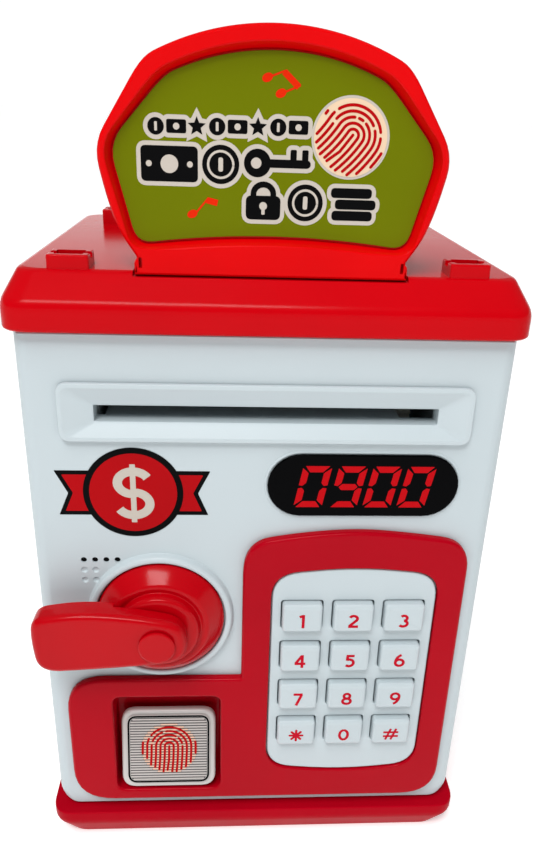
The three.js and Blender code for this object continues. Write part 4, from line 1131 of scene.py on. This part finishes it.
PAD_PLACE = Matrix.Translation(PAD_CENTRE) @ Matrix.Rotation(PAD_TILT, 4, "X")
PAD_OUTLINE = box_about(0, 0, PAD_SIZE[0] / 2, PAD_SIZE[1] / 2, 4.6, 8)
button = slab_mesh("button", PAD_OUTLINE, 2.2, 0.0, 0.9, steps=5)
stem = block_mesh("stem", -3.2, 3.2, 2.0, 7.6, -3.2, 3.2, 0.2)
add("fingerprint_button_fine", shaped(button, (FUSE, stem)), PAD_FRAME, "pad", "white_plastic",
    ("fingerprint_button",), turn=PAD_PLACE)
PLATE_HALF, PLATE_BOTTOM, PLATE_TOP = 13.2, -11.9, 12.4
PLATE_OUTLINE = box_outline(-PLATE_HALF, PLATE_HALF, PLATE_BOTTOM, PLATE_TOP, 3.4, steps=8)
plate = slab_mesh("plate", PLATE_OUTLINE, -GAP, -0.6, 0.1, steps=2)
add("fingerprint_plate_fine", plate, PAD_FRAME, "pad", "pad_label", ("fingerprint_plate",), turn=PAD_PLACE)


def pad_print(name, outlines, material, y, depth=0.05):
    return print_on(name, outlines, material, "pad", y, "pad_label", depth, turn=PAD_PLACE)


# A thin black ring along the plate's edge: painted shade of the groove between the plate and the button
# frame.
line = [(inset(PLATE_OUTLINE, d), y) for d, y in ((0.2, -0.55), (0.2, -0.68), (0.8, -0.68), (0.8, -0.55))]
add("pad_groove_shade", lofted("pad_groove_shade", line, looped=True), INK_BLACK, "pad", "pad_label", turn=PAD_PLACE)

RIB_COUNT = 24
RIB_HALF = 12.2
RIB_SHARE = 0.48
FINGER_RADIUS = 9.0
FINGER_SHIFT = (0.2, 0.5)
rib_pitch = (PLATE_TOP - PLATE_BOTTOM - 2.0) / RIB_COUNT
plate_middle = (PLATE_TOP + PLATE_BOTTOM) / 2


def rib(x0, x1, z):
    return box_about((x0 + x1) / 2, z, (x1 - x0) / 2, rib_pitch * RIB_SHARE / 2, 0.2, 2)


ribs, blush = [], []
for index in range(RIB_COUNT):
    z = PLATE_BOTTOM + 1.0 + rib_pitch * (index + 0.5)
    edge = RIB_HALF - max(0.0, abs(z - plate_middle) - 9.2) ** 2 * 0.35
    reach = math.sqrt(max(0.0, FINGER_RADIUS ** 2 - (z - FINGER_SHIFT[1]) ** 2))
    if reach < 1.0:
        ribs.append(rib(-edge, edge, z))
        continue
    left, right = FINGER_SHIFT[0] - reach, FINGER_SHIFT[0] + reach
    ribs += [rib(-edge, left, z), rib(right, edge, z)]
    blush.append(rib(left, right, z))
pad_print("pad_ground", [inset(PLATE_OUTLINE, 0.95)], PAD_GREY, -0.55, 0.08)
pad_print("pad_ribs", ribs, PAD_SILVER, -0.6, 0.16)
pad_print("pad_ribs_centre", blush, PAD_BLUSH, -0.6, 0.16)
pad_print("pad_fingerprint", fingerprint(FINGER_SHIFT, FINGER_RADIUS, 0, 0.72, 9, 0.6), INK_RED, -0.7, 0.1)

COIL_START, COIL_END = 3.95, 4.9
COIL_RADIUS, WIRE_RADIUS = 5.05, 0.22
COIL_TURNS, COIL_STEPS = 1.6, 70


def spring():
    """Coil behind the pad; its front turn stays clear of the pad when that is pressed in."""
    section = circle(0, 0, WIRE_RADIUS, 10)
    rings = []
    for i in range(COIL_STEPS + 1):
        part = i / COIL_STEPS
        spoke = AXES["y"](0, math.cos(part * COIL_TURNS * math.tau), math.sin(part * COIL_TURNS * math.tau))
        depth = COIL_START + part * (COIL_END - COIL_START)
        rings.append(([spoke * (COIL_RADIUS + p.x) + Vector((0, p.y, 0)) for p in section], depth))
    return lofted("spring", rings, lambda point, depth: point + Vector((0, depth, 0)))


stand("fingerprint_spring", spring(), STEEL, "door", turn=PAD_PLACE)

# ---- Knob and lever ----

knob_profile = [(radius, FRONT - out, soft) for radius, out, soft in (
    (0, GAP, 0), (DISC_RADIUS, GAP, 0.2), (DISC_RADIUS, 1.8, 0.6), (17.4, 3.1, 1.2), (14.2, 6.1, 0.5),
    (13.3, 6.3, 0.4), (11.9, 5.9, 0.4), (11.4, 8.2, 0.7), (10.4, 8.8, 0.7), (0, 8.8, 0))]
spindle = rod_mesh("spindle", "y", KNOB, FRONT - 1, -41.8, 4.0)
tip = rod_mesh("tip", "y", KNOB, -42.5, -36.8, 2.8)
bore = rod_mesh("bore", "y", KNOB, -46, -36, 1.5, 0, 24)
disc = turned_mesh("disc", knob_profile, "y", KNOB, count=96)
stand("knob_disc", shaped(disc, (FUSE, spindle), (FUSE, tip), (CUT, bore)), RED_GLOSS, "knob")

LEVER_OUTLINE = softened([
    (-64.0, 97.5, 4), (-50.0, 99.7, 9), (-33.0, 97.9, 8), (-21.8, 95.1, 8), (-21.4, 82.7, 8),
    (-36.0, 81.1, 9), (-63.2, 79.2, 7), (-64.5, 90.0, 5)], steps=8)
HUB_X = -42.4
END_BACK_Y = -63.2


def lever():
    """The arm, its front edge well rounded and its outer end thicker than its hub."""
    front, back = LEVER_Y
    edges = [(0.5, back), (0.15, back - 0.15), (0.0, back - 0.5)] + rounded_edge(back - 1, front, 2.0, 7)[1:]
    arm = lofted("lever", [(inset(LEVER_OUTLINE, d), y) for d, y in edges])
    outline = inset(LEVER_OUTLINE, 0.02)
    ends = [Vector((min(p.x, HUB_X + (p.y - 90) * 0.05), p.y)) for p in outline]
    edges = [(0.5, END_BACK_Y), (0.1, END_BACK_Y - 0.2), (0.0, END_BACK_Y - 0.6), (0.0, back - 1.4)]
    return shaped(arm, (FUSE, lofted("end", [(inset(ends, d), y) for d, y in edges])))


stand("lever", lever(), RED_GLOSS, "knob", sharp=40)
cap_back, cap_face = LEVER_Y[0] - GAP, LEVER_Y[0] - 1.2
cap_profile = [(0, cap_back, 0), (5.1, cap_back, 0.1), (5.1, cap_face, 0.8), (0, cap_face, 0)]
stand("lever_cap", turned_mesh("cap", cap_profile, "y", KNOB, count=64), RED_GLOSS, "knob")

carried("latch_cam", NYLON, "knob", 0.25)
carried("knob_screw", STEEL, "knob", 0.12)
carried("lock_plunger", STEEL, "lock_pin", 0.15)

# ---- Inside the door ----

for node, material, width in (
        ("back_cover", WHITE, 0.3), ("battery_cover", WHITE, 0.2), ("note_guide", WHITE, 0.2),
        ("speaker", RUBBER, 0.2), ("lock_solenoid", STEEL, 0.3), ("feed_motor", STEEL, 0.2),
        ("key_membrane", RUBBER, 0.3), ("main_board", BOARD, 0.15), ("display_module", BOARD, 0.3)):
    carried(node, material, "door", width)

CELL_PROFILE = [
    (0, -1.6, 0), (7.1, -1.6, 0.6), (7.1, 47.0, 0.6), (2.6, 47.2, 0.2), (2.6, 48.4, 0.4), (0, 48.4, 0)]
for index, z in enumerate((29.6, 45.0, 60.4)):
    cell = turned_mesh("cell", CELL_PROFILE, "x", (ROLLER_Y, z), count=40)
    stand(f"battery_{index + 1}", cell, CELL, "door")

SHAFT_SPAN = (-47.4, 49.4)
for body, z, radius in (("feed", FEED_Z, 5.0), ("pinch", PINCH_Z, 4.2)):
    shaft = rod_mesh("shaft", "x", (ROLLER_Y, z), *SHAFT_SPAN, 1.5, 0.3, 32)
    stand(f"{body}_shaft", shaft, STEEL, f"{body}_roller")
    for where, start, stop in (("left", -18, -8), ("right", 8, 18)):
        tyre_profile = [(1.8, start, 0.2), (radius, start, 0.6), (radius, stop, 0.6), (1.8, stop, 0.2)]
        tyre = turned_mesh("tyre", tyre_profile, "x", (ROLLER_Y, z), closed=True, count=48)
        stand(f"{body}_roller_{where}", tyre, RUBBER, f"{body}_roller")
carried("feed_gear", NYLON, "feed_roller", 0.06)
carried("motor_pinion", NYLON, "pinion", 0.06)
